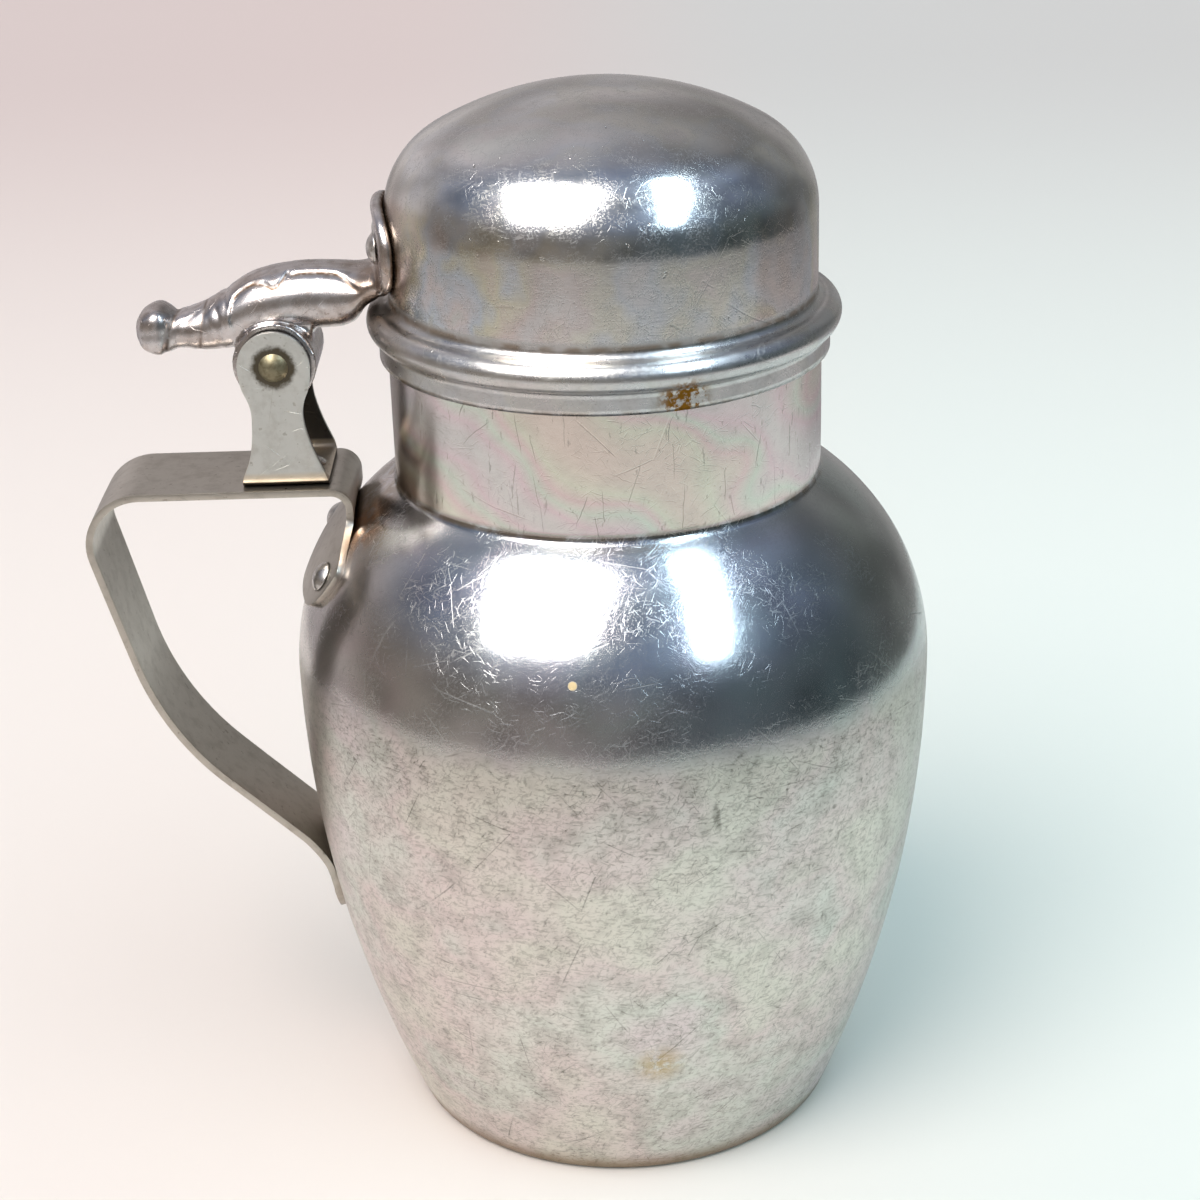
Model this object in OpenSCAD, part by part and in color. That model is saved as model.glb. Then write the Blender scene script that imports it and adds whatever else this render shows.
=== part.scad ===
// Spun aluminium jug with a hinged cap.
// The origin is on the jug's axis, on the surface that it stands on.
// +Z is up, the handle is towards -X, and the hinge pin lies along Y.

/* [Jug body] */
// Largest radius of the belly
belly_r = 55; // [52:0.5:58]
// Height at which the belly is widest
belly_z = 84; // [82:0.5:86]
// Radius of the arc that draws the lower body
lower_arc_r = 216; // [212:1:220]
// Radius of the arc that draws the shoulder
shoulder_arc_r = 40; // [39:0.25:41]
// Outer radius of the neck
neck_r = 36.2; // [36:0.1:36.2]
// Height of the neck's rim
rim_z = 146.9; // [146:0.1:146.9]
// Thickness of the body sheet
body_wall = 1.1; // [0.9:0.05:1.2]
// Radius of the rounded corner at the base
base_corner = 2; // [1.5:0.1:3]
// Radius of the crease between shoulder and neck
crease_r = 1.5; // [1:0.1:2]

/* [Cap] */
// Outer radius of the cap's upright wall
cap_r = 35.6; // [35.6:0.1:35.8]
// Height of the top of the dome
cap_top_z = 183.1; // [181:0.1:186]
// Radius of the rounded shoulder of the cap
cap_corner_r = 15; // [13:0.5:17]
// Radius of the shallow dome
cap_dome_r = 58; // [54:1:64]
// Thickness of the cap sheet
cap_wall = 0.8; // [0.7:0.05:0.85]
// Outer radius of the skirt round the neck
skirt_r = 37.6; // [37.6:0.05:37.8]
// Height of the skirt's lower edge
skirt_z = 139.5; // [139:0.1:140]
// Height of the bead's centre
bead_z = 145.4; // [145.2:0.1:145.6]
// Outer radius of the bead's round
bead_round_r = 2.5; // [2.3:0.1:2.6]
// Radius at which the bead's round is centred
bead_centre_r = 37; // [36.8:0.1:37.1]

/* [Hinge] */
// Distance of the hinge pin from the jug's axis
pin_x = 54.5; // [54:0.1:55]
// Height of the hinge pin
pin_z = 139.5; // [139:0.1:140]
// Radius of the pin and of every rivet's shank
shank_r = 1.6; // [1.4:0.05:1.8]
// Radial clearance of the pin in the lever
pin_clearance = 0.05; // [0.02:0.01:0.1]
// Radius of the rounded ends of the bracket's ears
ear_r = 6; // [5.5:0.1:6.4]
// Half the width of an ear at its waist
ear_waist = 4.2; // [3.8:0.1:4.6]
// Outer width of the bracket across the ears
bracket_w = 17.6; // [17:0.1:18.4]
// Length of the bracket's base along the strap
bracket_l = 14.4; // [13:0.1:15]
// Thickness of the bracket sheet
bracket_t = 1.2; // [1:0.1:1.4]
// Radius of the lever's lug
lug_r = 7; // [6.5:0.1:7.4]

/* [Handle] */
// Width of the strap's flat top
strap_w = 20.4; // [19:0.2:22]
// Width of the strap's lower end
strap_low_w = 17.4; // [16:0.2:19]
// Thickness of the strap
strap_t = 1.2; // [1:0.1:1.6]
// Height of the strap's flat top
strap_top_z = 118.4; // [118:0.1:119]
// Width of the foot that spreads over the shoulder
foot_w = 37; // [34:0.5:39]
// Height of the foot's lower edge
foot_z = 98.6; // [98:0.2:100]
// Height of the lower tongue's rounded tip
tongue_z = 34.5; // [33:0.5:37]

/* [Rivets] */
// Radius of a rivet's head
head_r = 2.7; // [2.4:0.1:2.8]
// Height of a rivet's domed head
head_h = 1.3; // [1:0.1:1.5]
// Height of a rivet's flattened inner end
tail_h = 0.8; // [0.6:0.1:1]
// Height of the two rivets on the shoulder
shoulder_rivet_z = 104; // [103:0.5:105]
// Distance of the shoulder rivets from the handle's middle plane
shoulder_rivet_y = 14; // [13:0.5:14.5]
// Height of the lower handle rivet
lower_rivet_z = 41; // [40:0.5:43]
// Height of the two rivets on the cap
cap_rivet_z = 158.5; // [157:0.5:160]
// Angle of the cap rivets from the handle's middle plane
cap_rivet_angle = 10; // [9:0.5:12]
// Distance of the bracket rivets from the middle of the bracket's base
bracket_rivet_step = 3.6; // [3.2:0.1:4]

/* [Flange] */
// Thickness of the lever's flange on the cap
flange_t = 2; // [1.6:0.1:2.4]
// Half the width of the flange
flange_half_w = 12.5; // [11:0.5:13]
// Height of the flange's lower edge
flange_low_z = 149.6; // [149.4:0.1:150.5]
// Height of the flange's rounded top
flange_top_z = 165.5; // [164:0.5:166]

/* [Hidden] */
$fn = 96;

aluminium = [0.80, 0.80, 0.81];
dull_aluminium = [0.70, 0.69, 0.67];
cast_aluminium = [0.76, 0.75, 0.77];
dark_steel = [0.45, 0.42, 0.36];

lower_x = belly_r - lower_arc_r;         // where the lower body's arc is centred
shoulder_x = belly_r - shoulder_arc_r;   // where the shoulder's arc is centred
head_sphere_r = (head_r * head_r + head_h * head_h) / (2 * head_h);
tail_gap = 0.15;                         // a flat tail stands this far off a hollow wall
side_gap = 0.4;                          // between the lug and each ear
contact = 0.01;                          // keeps neighbouring pieces from sharing a face
bracket_x = -54;                         // middle of the bracket's base
eps = 0.5;

// Points along an arc, with angles in degrees
function arc(cx, cz, r, a0, a1, n) =
    [for (i = [0:n]) let (a = a0 + (a1 - a0) * i / n) [cx + r * cos(a), cz + r * sin(a)]];

function reversed(list) = [for (i = [len(list) - 1:-1:0]) list[i]];

// One rounded corner of a path, from its three vertices and its radius
function corner(a, b, c, r, n = 14) =
    let (u = (a - b) / norm(a - b),
         v = (c - b) / norm(c - b),
         half = acos(u * v) / 2,
         reach = r / tan(half),
         centre = b + (u + v) / norm(u + v) * r / sin(half),
         p = b + u * reach - centre,
         q = b + v * reach - centre,
         a0 = atan2(p[1], p[0]),
         turn = atan2(q[1], q[0]) - a0,
         sweep = turn > 180 ? turn - 360 : turn < -180 ? turn + 360 : turn)
    [for (i = [0:n]) centre + r * [cos(a0 + sweep * i / n), sin(a0 + sweep * i / n)]];

// A path through [x, z, radius] vertices, with its corners rounded
function rounded_path(v) =
    [[v[0][0], v[0][1]],
     for (i = [1:len(v) - 2])
         each corner([v[i - 1][0], v[i - 1][1]], [v[i][0], v[i][1]], [v[i + 1][0], v[i + 1][1]], v[i][2]),
     [v[len(v) - 1][0], v[len(v) - 1][1]]];

// The direction of a path at one of its points
function heading(path, i) =
    let (a = path[max(i - 1, 0)], b = path[min(i + 1, len(path) - 1)]) (b - a) / norm(b - a);

// A band of constant thickness along a path
function band(path, t) =
    concat([for (i = [0:len(path) - 1]) let (h = heading(path, i)) path[i] + [-h[1], h[0]] * t / 2],
           reversed([for (i = [0:len(path) - 1]) let (h = heading(path, i)) path[i] - [-h[1], h[0]] * t / 2]));

// A smooth curve through rows of numbers, with n steps between rows
function smooth_rows(rows, n) =
    [for (i = [0:len(rows) - 2], s = [0:n - 1]) blend_row(rows, i, s / n), rows[len(rows) - 1]];
function blend_row(rows, i, t) =
    let (a = rows[max(i - 1, 0)], b = rows[i], c = rows[i + 1], d = rows[min(i + 2, len(rows) - 1)])
    b + t * (c - a) / 2 + t * t * (a - 2.5 * b + 2 * c - d / 2) + t * t * t * (-a + 3 * b - 3 * c + d) / 2;

// The outline of the jug from its axis at the base to its rim, d inside the outer surface
function body_line(d) =
    let (corner_x = lower_x + sqrt(pow(lower_arc_r - base_corner, 2) - pow(belly_z - base_corner, 2)),
         base_a = -asin((belly_z - base_corner) / (lower_arc_r - base_corner)),
         crease_x = neck_r + crease_r,
         crease_z = belly_z + sqrt(pow(shoulder_arc_r + crease_r, 2) - pow(crease_x - shoulder_x, 2)),
         crease_a = atan2(crease_z - belly_z, crease_x - shoulder_x))
    concat([[0, d]],
           arc(corner_x, base_corner, base_corner - d, -90, base_a, 8),
           arc(lower_x, belly_z, lower_arc_r - d, base_a, 0, 24),
           arc(shoulder_x, belly_z, shoulder_arc_r - d, 2, crease_a, 24),
           arc(crease_x, crease_z, crease_r + d, 180 + crease_a, 180, 6));

// The outline of the cap from the skirt's lower edge to the top, d inside the outer surface
function cap_line(d) =
    let (skirt_a = -acos((skirt_r - d - bead_centre_r) / (bead_round_r - d)),
         fillet_r = bead_centre_r - cap_r,
         fillet_z = bead_z + bead_round_r + fillet_r,
         drop = sqrt(pow(cap_dome_r - cap_corner_r, 2) - pow(cap_r - cap_corner_r, 2)),
         corner_z = cap_top_z - cap_dome_r + drop,
         dome_a = atan2(drop, cap_r - cap_corner_r))
    concat([[skirt_r - d, skirt_z]],
           arc(bead_centre_r, bead_z, bead_round_r - d, skirt_a, 90, 14),
           arc(bead_centre_r, fillet_z, fillet_r + d, 269, 180, 8),
           arc(cap_r - cap_corner_r, corner_z, cap_corner_r - d, 0, dome_a, 18),
           arc(0, cap_top_z - cap_dome_r, cap_dome_r - d, dome_a + 1, 90, 12));

// The whole outer volume of the jug, used to trim what rests on it
module body_volume() {
    rotate_extrude() polygon(concat(body_line(0), [[neck_r, rim_z + 10], [0, rim_z + 10]]));
}

// The outline of a domed head that stands on height h0, from its top to its rim
function dome_line(h0) =
    let (rim_a = asin((head_sphere_r - head_h) / head_sphere_r))
    arc(0, h0 + head_h - head_sphere_r, head_sphere_r, 90, rim_a, 8);

// A revolved fastener along X from its outline of [radius, height] points
module turned_along_x(outline) {
    rotate([0, 90, 0]) rotate_extrude() polygon(outline);
}

// A rivet along X whose grip runs from -inner to outer, with a domed head and a flattened tail
module rivet(inner, outer) {
    r = shank_r - contact;
    tail_r = head_r - 0.3;
    tail_x = -inner - tail_gap;
    turned_along_x(concat(dome_line(outer + contact),
        [[r, outer + contact], [r, tail_x], [tail_r, tail_x], [tail_r, tail_x - tail_h], [0, tail_x - tail_h]]));
}

// A fastener along X with a domed head at each end of its grip
module double_headed(low, high) {
    r = shank_r - contact;
    turned_along_x(concat(dome_line(high), [[r, high], [r, low]],
        [for (p = reversed(dome_line(-low))) [p[0], -p[1]]]));
}

// Places children on the shoulder at a height and angle, with +X along the surface normal
module on_shoulder(z, angle) {
    rotate([0, 0, 180 + angle]) translate([shoulder_x, 0, belly_z])
        rotate([0, -asin((z - belly_z) / shoulder_arc_r), 0]) translate([shoulder_arc_r, 0, 0]) children();
}

// Places children on the lower body under the handle
module on_lower_body(z) {
    rotate([0, 0, 180]) translate([lower_x, 0, belly_z])
        rotate([0, asin((belly_z - z) / lower_arc_r), 0]) translate([lower_arc_r, 0, 0]) children();
}

module on_cap(z, angle) {
    rotate([0, 0, 180 + angle]) translate([cap_r, 0, z]) children();
}

// The three rivet holes in the jug and in the strap
module handle_rivet_holes() {
    for (side = [-1, 1])
        on_shoulder(shoulder_rivet_z, side * shoulder_rivet_angle()) hole();
    on_lower_body(lower_rivet_z) hole();
}

module hole(r = shank_r) {
    translate([-6, 0, 0]) rotate([0, 90, 0]) cylinder(r = r, h = 12);
}

function shoulder_rivet_angle() =
    asin(shoulder_rivet_y / (shoulder_x + sqrt(pow(shoulder_arc_r, 2) - pow(shoulder_rivet_z - belly_z, 2))));

module jug_body() {
    rim_round = arc(neck_r - body_wall / 2, rim_z - body_wall / 2, body_wall / 2, 0, 180, 10);
    color(aluminium) difference() {
        rotate_extrude() polygon(concat(body_line(0), rim_round, reversed(body_line(body_wall))));
        handle_rivet_holes();
    }
}

// The strap's side view: a drop at the shoulder, a flat top, a bow and the run down to the body
function strap_centre() =
    let (top = strap_top_z - strap_t / 2)
    rounded_path([[-43.6, 109, 0], [-43.6, top, 3], [-90.4, top, 8.9], [-78.7, 73.4, 50],
                  [-52.9, 49, 14], [-51.3, 41.5, 0]]);

// The foot's outline over the shoulder, seen along X
module foot_outline() {
    round_r = 7;
    neck_z = 112;
    lobe_y = foot_w / 2 - round_r;
    lobe_z = foot_z + round_r;
    polygon([[-strap_w / 2, neck_z + 6], [-strap_w / 2, neck_z],
             each arc(-lobe_y, lobe_z, round_r, 160, 270, 12),
             each arc(lobe_y, lobe_z, round_r, 270, 380, 12),
             [strap_w / 2, neck_z], [strap_w / 2, neck_z + 6]]);
}

// The strap's outline seen along X, narrower towards its lower end
module strap_outline() {
    wide_z = 112;
    narrow_z = 60;
    polygon([[-strap_low_w / 2, 0], [strap_low_w / 2, 0], [strap_low_w / 2, narrow_z],
             [strap_w / 2, wide_z], [strap_w / 2, wide_z + 20],
             [-strap_w / 2, wide_z + 20], [-strap_w / 2, wide_z], [-strap_low_w / 2, narrow_z]]);
}

// The tongue's outline on the lower body, seen along X
module tongue_outline() {
    half = strap_low_w / 2;
    translate([0, tongue_z + half]) circle(half);
    translate([-half, tongue_z + half]) square([strap_low_w, 6]);
}

// A flat outline in Y and Z, extruded through the handle's side of the jug
module through_handle_side(depth = 60) {
    translate([-depth - 10, 0, 0]) rotate([90, 0, 90]) linear_extrude(depth) children();
}

module handle_strap() {
    skin = strap_t + eps;
    color(dull_aluminium) difference() {
        union() {
            intersection() {
                rotate([90, 0, 0]) translate([0, 0, -strap_w])
                    linear_extrude(2 * strap_w) polygon(band(strap_centre(), strap_t));
                through_handle_side(90) strap_outline();
            }
            intersection() {
                rotate_extrude() polygon(concat(
                    arc(shoulder_x, belly_z, shoulder_arc_r - eps, 15, 46, 16),
                    arc(shoulder_x, belly_z, shoulder_arc_r - eps + skin, 46, 15, 16)));
                through_handle_side() foot_outline();
            }
            intersection() {
                rotate_extrude() polygon(concat(
                    arc(lower_x, belly_z, lower_arc_r - eps, -15, -9, 12),
                    arc(lower_x, belly_z, lower_arc_r - eps + skin, -9, -15, 12)));
                through_handle_side() tongue_outline();
            }
        }
        body_volume();
        handle_rivet_holes();
        for (side = [-1, 1]) translate([bracket_x + side * bracket_rivet_step, 0, 110])
            cylinder(r = shank_r, h = 20);
    }
}

module shoulder_rivet(side) {
    color(aluminium) on_shoulder(shoulder_rivet_z, side * shoulder_rivet_angle()) rivet(body_wall, strap_t);
}

module lower_handle_rivet() {
    color(aluminium) on_lower_body(lower_rivet_z) rivet(body_wall, strap_t);
}

// One ear's outline: a round end about the pin, a waist and a flared base
function ear_side(side) =
    let (flare_r = 10,
         waist_z = pin_z - 9.5,
         flare = arc(ear_waist + flare_r, waist_z, flare_r, 168, 225, 10),
         end = arc(0, pin_z, ear_r, 90, -15, 12))
    [for (p = concat(end, flare)) [side * p[0], p[1]]];

module ear_outline() {
    base_low = strap_top_z;
    polygon(concat([[0, pin_z + ear_r]], ear_side(1),
                   [[bracket_l / 2, base_low + 4], [bracket_l / 2, base_low],
                    [-bracket_l / 2, base_low], [-bracket_l / 2, base_low + 4]],
                   reversed(ear_side(-1))));
}

module hinge_bracket() {
    bend = bracket_t + 0.6;
    half = bracket_w / 2;
    color(dull_aluminium) difference() {
        intersection() {
            union() {
                translate([bracket_x - bracket_l, -half, strap_top_z + contact])
                    cube([2 * bracket_l, bracket_w, bracket_t]);
                for (side = [-1, 1])
                    translate([bracket_x - bracket_l, side > 0 ? half - bracket_t : -half, strap_top_z + bend])
                        cube([2 * bracket_l, bracket_t, 40]);
                for (side = [-1, 1])
                    translate([bracket_x, side * (half - bend), strap_top_z + contact + bend])
                        rotate([0, 90, 0]) intersection() {
                            difference() {
                                cylinder(r = bend, h = 2 * bracket_l, center = true);
                                cylinder(r = bend - bracket_t, h = 3 * bracket_l, center = true);
                            }
                            translate([0, side > 0 ? 0 : -bend, -bracket_l]) cube([bend, bend, 2 * bracket_l]);
                        }
            }
            translate([-pin_x, half + 1, 0]) rotate([90, 0, 0]) linear_extrude(bracket_w + 2) ear_outline();
            bracket_bend_trim();
        }
        translate([-pin_x, 0, pin_z]) rotate([90, 0, 0]) cylinder(r = shank_r, h = bracket_w + 4, center = true);
        for (side = [-1, 1]) translate([bracket_x + side * bracket_rivet_step, 0, 110])
            cylinder(r = shank_r, h = 20);
    }
}

// Removes the square outer corners where the bracket's sheet is bent
module bracket_bend_trim() {
    bend = bracket_t + 0.6;
    half = bracket_w / 2;
    low = strap_top_z + contact;
    translate([bracket_x, 0, 0]) rotate([90, 0, 90]) linear_extrude(4 * bracket_l, center = true)
        polygon(concat(arc(-half + bend, low + bend, bend, 180, 270, 8), arc(half - bend, low + bend, bend, 270, 360, 8),
                       [[half, pin_z + 20], [-half, pin_z + 20]]));
}

module bracket_rivet(side) {
    color(aluminium) translate([bracket_x + side * bracket_rivet_step, 0, strap_top_z]) rotate([0, -90, 0])
        double_headed(-strap_t - contact, bracket_t + 2 * contact);
}

module hinge_pin() {
    grip = bracket_w / 2 + contact;
    color(dark_steel) translate([-pin_x, 0, pin_z]) rotate([0, 0, 90]) double_headed(-grip, grip);
}

module cap() {
    color(aluminium) difference() {
        rotate_extrude() polygon(concat(cap_line(0), reversed(cap_line(cap_wall))));
        for (side = [-1, 1]) on_cap(cap_rivet_z, side * cap_rivet_angle) hole();
    }
}

module cap_rivet(side) {
    color(aluminium) on_cap(cap_rivet_z, side * cap_rivet_angle) rivet(cap_wall, flange_t);
}

// The lever's cast arm as rows of [x, bottom z, top z, half width], from the knob to the flange
function arm_rows() = [
    [-77.5, 143.0, 145.6, 1.6],
    [-76.6, 141.2, 147.8, 3.8],
    [-73.8, 139.9, 148.6, 5.0],
    [-70.8, 141.0, 147.2, 3.9],
    [-67.5, 140.6, 147.9, 4.5],
    [-63.0, 140.8, 149.8, 5.2],
    [-58.0, 142.2, 152.6, 6.0],
    [-52.0, 143.6, 154.3, 6.4],
    [-46.0, 143.9, 154.6, 6.4],
    [-42.6, 144.3, 154.4, 6.5],
    [-40.7, 145.4, 154.2, 6.6],
    [-39.3, 147.4, 154.2, 6.8],
    [-37.0, 148.8, 154.8, 7.0]];

// One cross-section of the arm: an ellipse between its bottom and top
function arm_ring(row, sides) =
    [for (k = [0:sides - 1]) let (a = 360 * k / sides)
        [row[0], row[3] * cos(a), (row[1] + row[2]) / 2 + (row[2] - row[1]) / 2 * sin(a)]];

module arm() {
    sides = 20;
    rows = smooth_rows(arm_rows(), 3);
    last = len(rows) - 1;
    points = [for (row = rows) each arm_ring(row, sides)];
    walls = [for (i = [0:last - 1], k = [0:sides - 1])
        let (a = i * sides + k, b = i * sides + (k + 1) % sides)
        each [[a, b + sides, b], [a, a + sides, b + sides]]];
    polyhedron(points, concat(walls,
        [[for (k = [0:sides - 1]) k]], [[for (k = [sides - 1:-1:0]) last * sides + k]]));
}

// The flange's outline on the cap: a rounded oval
module flange_outline() {
    mid_z = (flange_low_z + flange_top_z) / 2;
    half_h = (flange_top_z - flange_low_z) / 2;
    squareness = 0.8;
    polygon([for (a = [0:6:354])
        [flange_half_w * sign(cos(a)) * pow(abs(cos(a)), squareness),
         mid_z + half_h * sign(sin(a)) * pow(abs(sin(a)), squareness)]]);
}

module thumb_lever() {
    lug_half = bracket_w / 2 - bracket_t - side_gap;
    color(cast_aluminium) difference() {
        union() {
            arm();
            translate([-pin_x, 0, pin_z]) rotate([90, 0, 0]) cylinder(r = lug_r, h = 2 * lug_half, center = true);
            translate([-pin_x - lug_r, -5, pin_z]) cube([2 * lug_r, 10, 6.5]);
            intersection() {
                difference() {
                    cylinder(r = cap_r + flange_t, h = 200);
                    translate([0, 0, -1]) cylinder(r = cap_r + contact, h = 202);
                }
                through_handle_side() flange_outline();
            }
        }
        translate([-pin_x, 0, pin_z]) rotate([90, 0, 0])
            cylinder(r = shank_r + pin_clearance, h = 30, center = true);
        for (side = [-1, 1]) on_cap(cap_rivet_z, side * cap_rivet_angle) hole();
    }
}

jug_body();
handle_strap();
shoulder_rivet(1);  // shoulder_rivet_front
shoulder_rivet(-1);  // shoulder_rivet_back
lower_handle_rivet();
hinge_bracket();
bracket_rivet(1);  // bracket_rivet_inner
bracket_rivet(-1);  // bracket_rivet_outer
hinge_pin();
cap();
thumb_lever();
cap_rivet(1);  // cap_rivet_front
cap_rivet(-1);  // cap_rivet_back
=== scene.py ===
import math

import bmesh
import bpy
import numpy as np
from mathutils import Matrix, Vector


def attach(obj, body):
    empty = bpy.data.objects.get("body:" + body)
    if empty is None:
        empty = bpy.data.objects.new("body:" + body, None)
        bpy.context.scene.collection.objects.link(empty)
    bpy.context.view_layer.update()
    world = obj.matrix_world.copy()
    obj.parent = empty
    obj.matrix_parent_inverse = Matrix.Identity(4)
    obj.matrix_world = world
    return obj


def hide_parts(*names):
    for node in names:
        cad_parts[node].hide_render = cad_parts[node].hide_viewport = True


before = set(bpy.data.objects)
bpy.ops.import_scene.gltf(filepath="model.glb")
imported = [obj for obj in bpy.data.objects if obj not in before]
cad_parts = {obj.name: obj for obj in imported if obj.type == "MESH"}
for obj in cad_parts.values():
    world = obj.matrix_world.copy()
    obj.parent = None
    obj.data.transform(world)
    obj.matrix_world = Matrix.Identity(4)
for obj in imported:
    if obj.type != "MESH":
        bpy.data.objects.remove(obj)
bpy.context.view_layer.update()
scene = bpy.context.scene
mm = 0.001


# Shapes: plain helpers. Outlines are lists of (radius, height) in millimetres

def arcPoints(centre, radius, start, end, steps):
    angles = np.radians(np.linspace(start, end, steps + 1))
    return [(centre[0] + radius * math.cos(a), centre[1] + radius * math.sin(a)) for a in angles]


def evened(points, step):
    # The same line with points a fixed step apart, or closer where it bends
    line = np.array(points, float)
    lengths = np.hypot(*np.diff(line, axis=0).T)
    made = [line[0]]
    for start, end, length in zip(line[:-1], line[1:], lengths):
        parts = max(1, math.ceil(length / step))
        made += [start + (end - start) * k / parts for k in range(1, parts + 1)]
    return made


def roundedPath(corners, steps=14):
    # A path through (x, z, radius) corners, each rounded by its radius
    made = [np.array(corners[0][:2], float)]
    for before, here, after in zip(corners[:-2], corners[1:-1], corners[2:]):
        a, b, c = (np.array(p[:2], float) for p in (before, here, after))
        u, v = (a - b) / np.linalg.norm(a - b), (c - b) / np.linalg.norm(c - b)
        half = math.acos(float(u @ v)) / 2
        centre = b + (u + v) / np.linalg.norm(u + v) * here[2] / math.sin(half)
        p, q = b + u * here[2] / math.tan(half) - centre, b + v * here[2] / math.tan(half) - centre
        first = math.atan2(p[1], p[0])
        sweep = (math.atan2(q[1], q[0]) - first + math.pi) % (2 * math.pi) - math.pi
        turns = first + sweep * np.arange(steps + 1) / steps
        made += list(centre + here[2] * np.stack([np.cos(turns), np.sin(turns)], 1))
    return made + [np.array(corners[-1][:2], float)]


def eased(value, low, high):
    t = np.clip((np.asarray(value, float) - low) / (high - low), 0, 1)
    return t * t * (3 - 2 * t)


def ripple(points, size, seed):
    # A smooth wandering value between -1 and 1, from a few fixed waves
    random = np.random.default_rng(seed)
    total = np.zeros(len(points))
    for _ in range(7):
        wave = random.normal(size=3)
        wave *= 2 * math.pi / size / np.linalg.norm(wave) * random.uniform(0.6, 1.5)
        total += np.sin(points @ wave + random.uniform(0, 6.28))
    return total / 3.5


def smoothRows(rows, places):
    # Rows of (place, values...) read at other places, along smooth curves through them
    table = np.array(rows, float)
    slopes = np.gradient(table[:, 1:], table[:, 0], axis=0)
    slot = np.clip(np.searchsorted(table[:, 0], places) - 1, 0, len(table) - 2)
    wide = table[slot + 1, 0] - table[slot, 0]
    t = ((places - table[slot, 0]) / wide)[:, None]
    a, b, wide = table[slot, 1:], table[slot + 1, 1:], wide[:, None]
    return ((2 * t ** 3 - 3 * t ** 2 + 1) * a + (t ** 3 - 2 * t ** 2 + t) * wide * slopes[slot]
            + (3 * t ** 2 - 2 * t ** 3) * b + (t ** 3 - t ** 2) * wide * slopes[slot + 1])


def meshObject(name, points, faces):
    mesh = bpy.data.meshes.new(name)
    mesh.from_pydata([tuple(map(float, p)) for p in points], [], faces)
    mesh.update()
    piece = bpy.data.objects.new(name, mesh)
    scene.collection.objects.link(piece)
    return piece


def settle(piece, weld=1e-7):
    # Turns what the modifiers make into a plain closed mesh that faces outwards
    made = bpy.data.meshes.new_from_object(piece.evaluated_get(bpy.context.evaluated_depsgraph_get()))
    piece.modifiers.clear()
    piece.data = made
    work = bmesh.new()
    work.from_mesh(made)
    bmesh.ops.remove_doubles(work, verts=work.verts, dist=weld)
    bmesh.ops.recalc_face_normals(work, faces=work.faces)
    if work.calc_volume(signed=True) < 0:
        bmesh.ops.reverse_faces(work, faces=work.faces)
    work.to_mesh(made)
    work.free()
    made.name = piece.name
    made.shade_smooth()
    return piece


def gridFaces(rows, columns):
    return [(r * columns + c, r * columns + c + 1, (r + 1) * columns + c + 1, (r + 1) * columns + c)
            for r in range(rows - 1) for c in range(columns - 1)]


def tubeFaces(rings, sides):
    # The faces of a tube of rings that is closed at both ends
    faces = [(r * sides + c, r * sides + (c + 1) % sides, (r + 1) * sides + (c + 1) % sides, (r + 1) * sides + c)
             for r in range(rings - 1) for c in range(sides)]
    return faces + [tuple(range(sides - 1, -1, -1)), tuple((rings - 1) * sides + c for c in range(sides))]


def squared(values, power):
    # A sine or cosine that draws a boxier round the smaller the power is
    return np.sign(values) * np.abs(values) ** power


def sheetMetal(piece, sheet, edgeR, segments):
    # Gives a surface the thickness of its sheet and rounds its cut edges
    thick = piece.modifiers.new("sheet", "SOLIDIFY")
    thick.thickness, thick.offset, thick.use_even_offset = sheet * mm, 0, True
    edge = piece.modifiers.new("edge", "BEVEL")
    edge.width, edge.segments = edgeR * mm, segments
    edge.limit_method, edge.angle_limit = "ANGLE", math.radians(50)
    return settle(piece)


def placed(piece, body, nodes, finish):
    piece.data.materials.clear()
    piece.data.materials.append(finish)
    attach(piece, body)
    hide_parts(*nodes)
    print("made", piece.name, len(piece.data.polygons), "faces")
    return piece


# Materials: sums and products of sockets are written as Python expressions

class Wire:
    def __init__(self, finish, socket):
        self.finish, self.socket = finish, socket

    def maths(self, operation, *values):
        return self.finish.node("ShaderNodeMath", {"operation": operation}, dict(enumerate(values)))

    def __add__(self, other):
        return self.maths("ADD", self, other)

    def __sub__(self, other):
        return self.maths("SUBTRACT", self, other)

    def __rsub__(self, other):
        return self.maths("SUBTRACT", other, self)

    def __mul__(self, other):
        return self.maths("MULTIPLY", self, other)

    def __abs__(self):
        return self.maths("ABSOLUTE", self)

    def larger(self, other):
        return self.maths("MAXIMUM", self, other)

    def rise(self, low, high, bottom=0.0, top=1.0):
        return self.finish.node("ShaderNodeMapRange", {"interpolation_type": "SMOOTHSTEP"},
                                {"Value": self, "From Min": low, "From Max": high, "To Min": bottom, "To Max": top})

    def over(self, low, high, bottom=0.0, top=1.0):
        # A rise between two places that are given in millimetres
        return self.rise(low * mm, high * mm, bottom, top)

    __radd__, __rmul__ = __add__, __mul__


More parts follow.
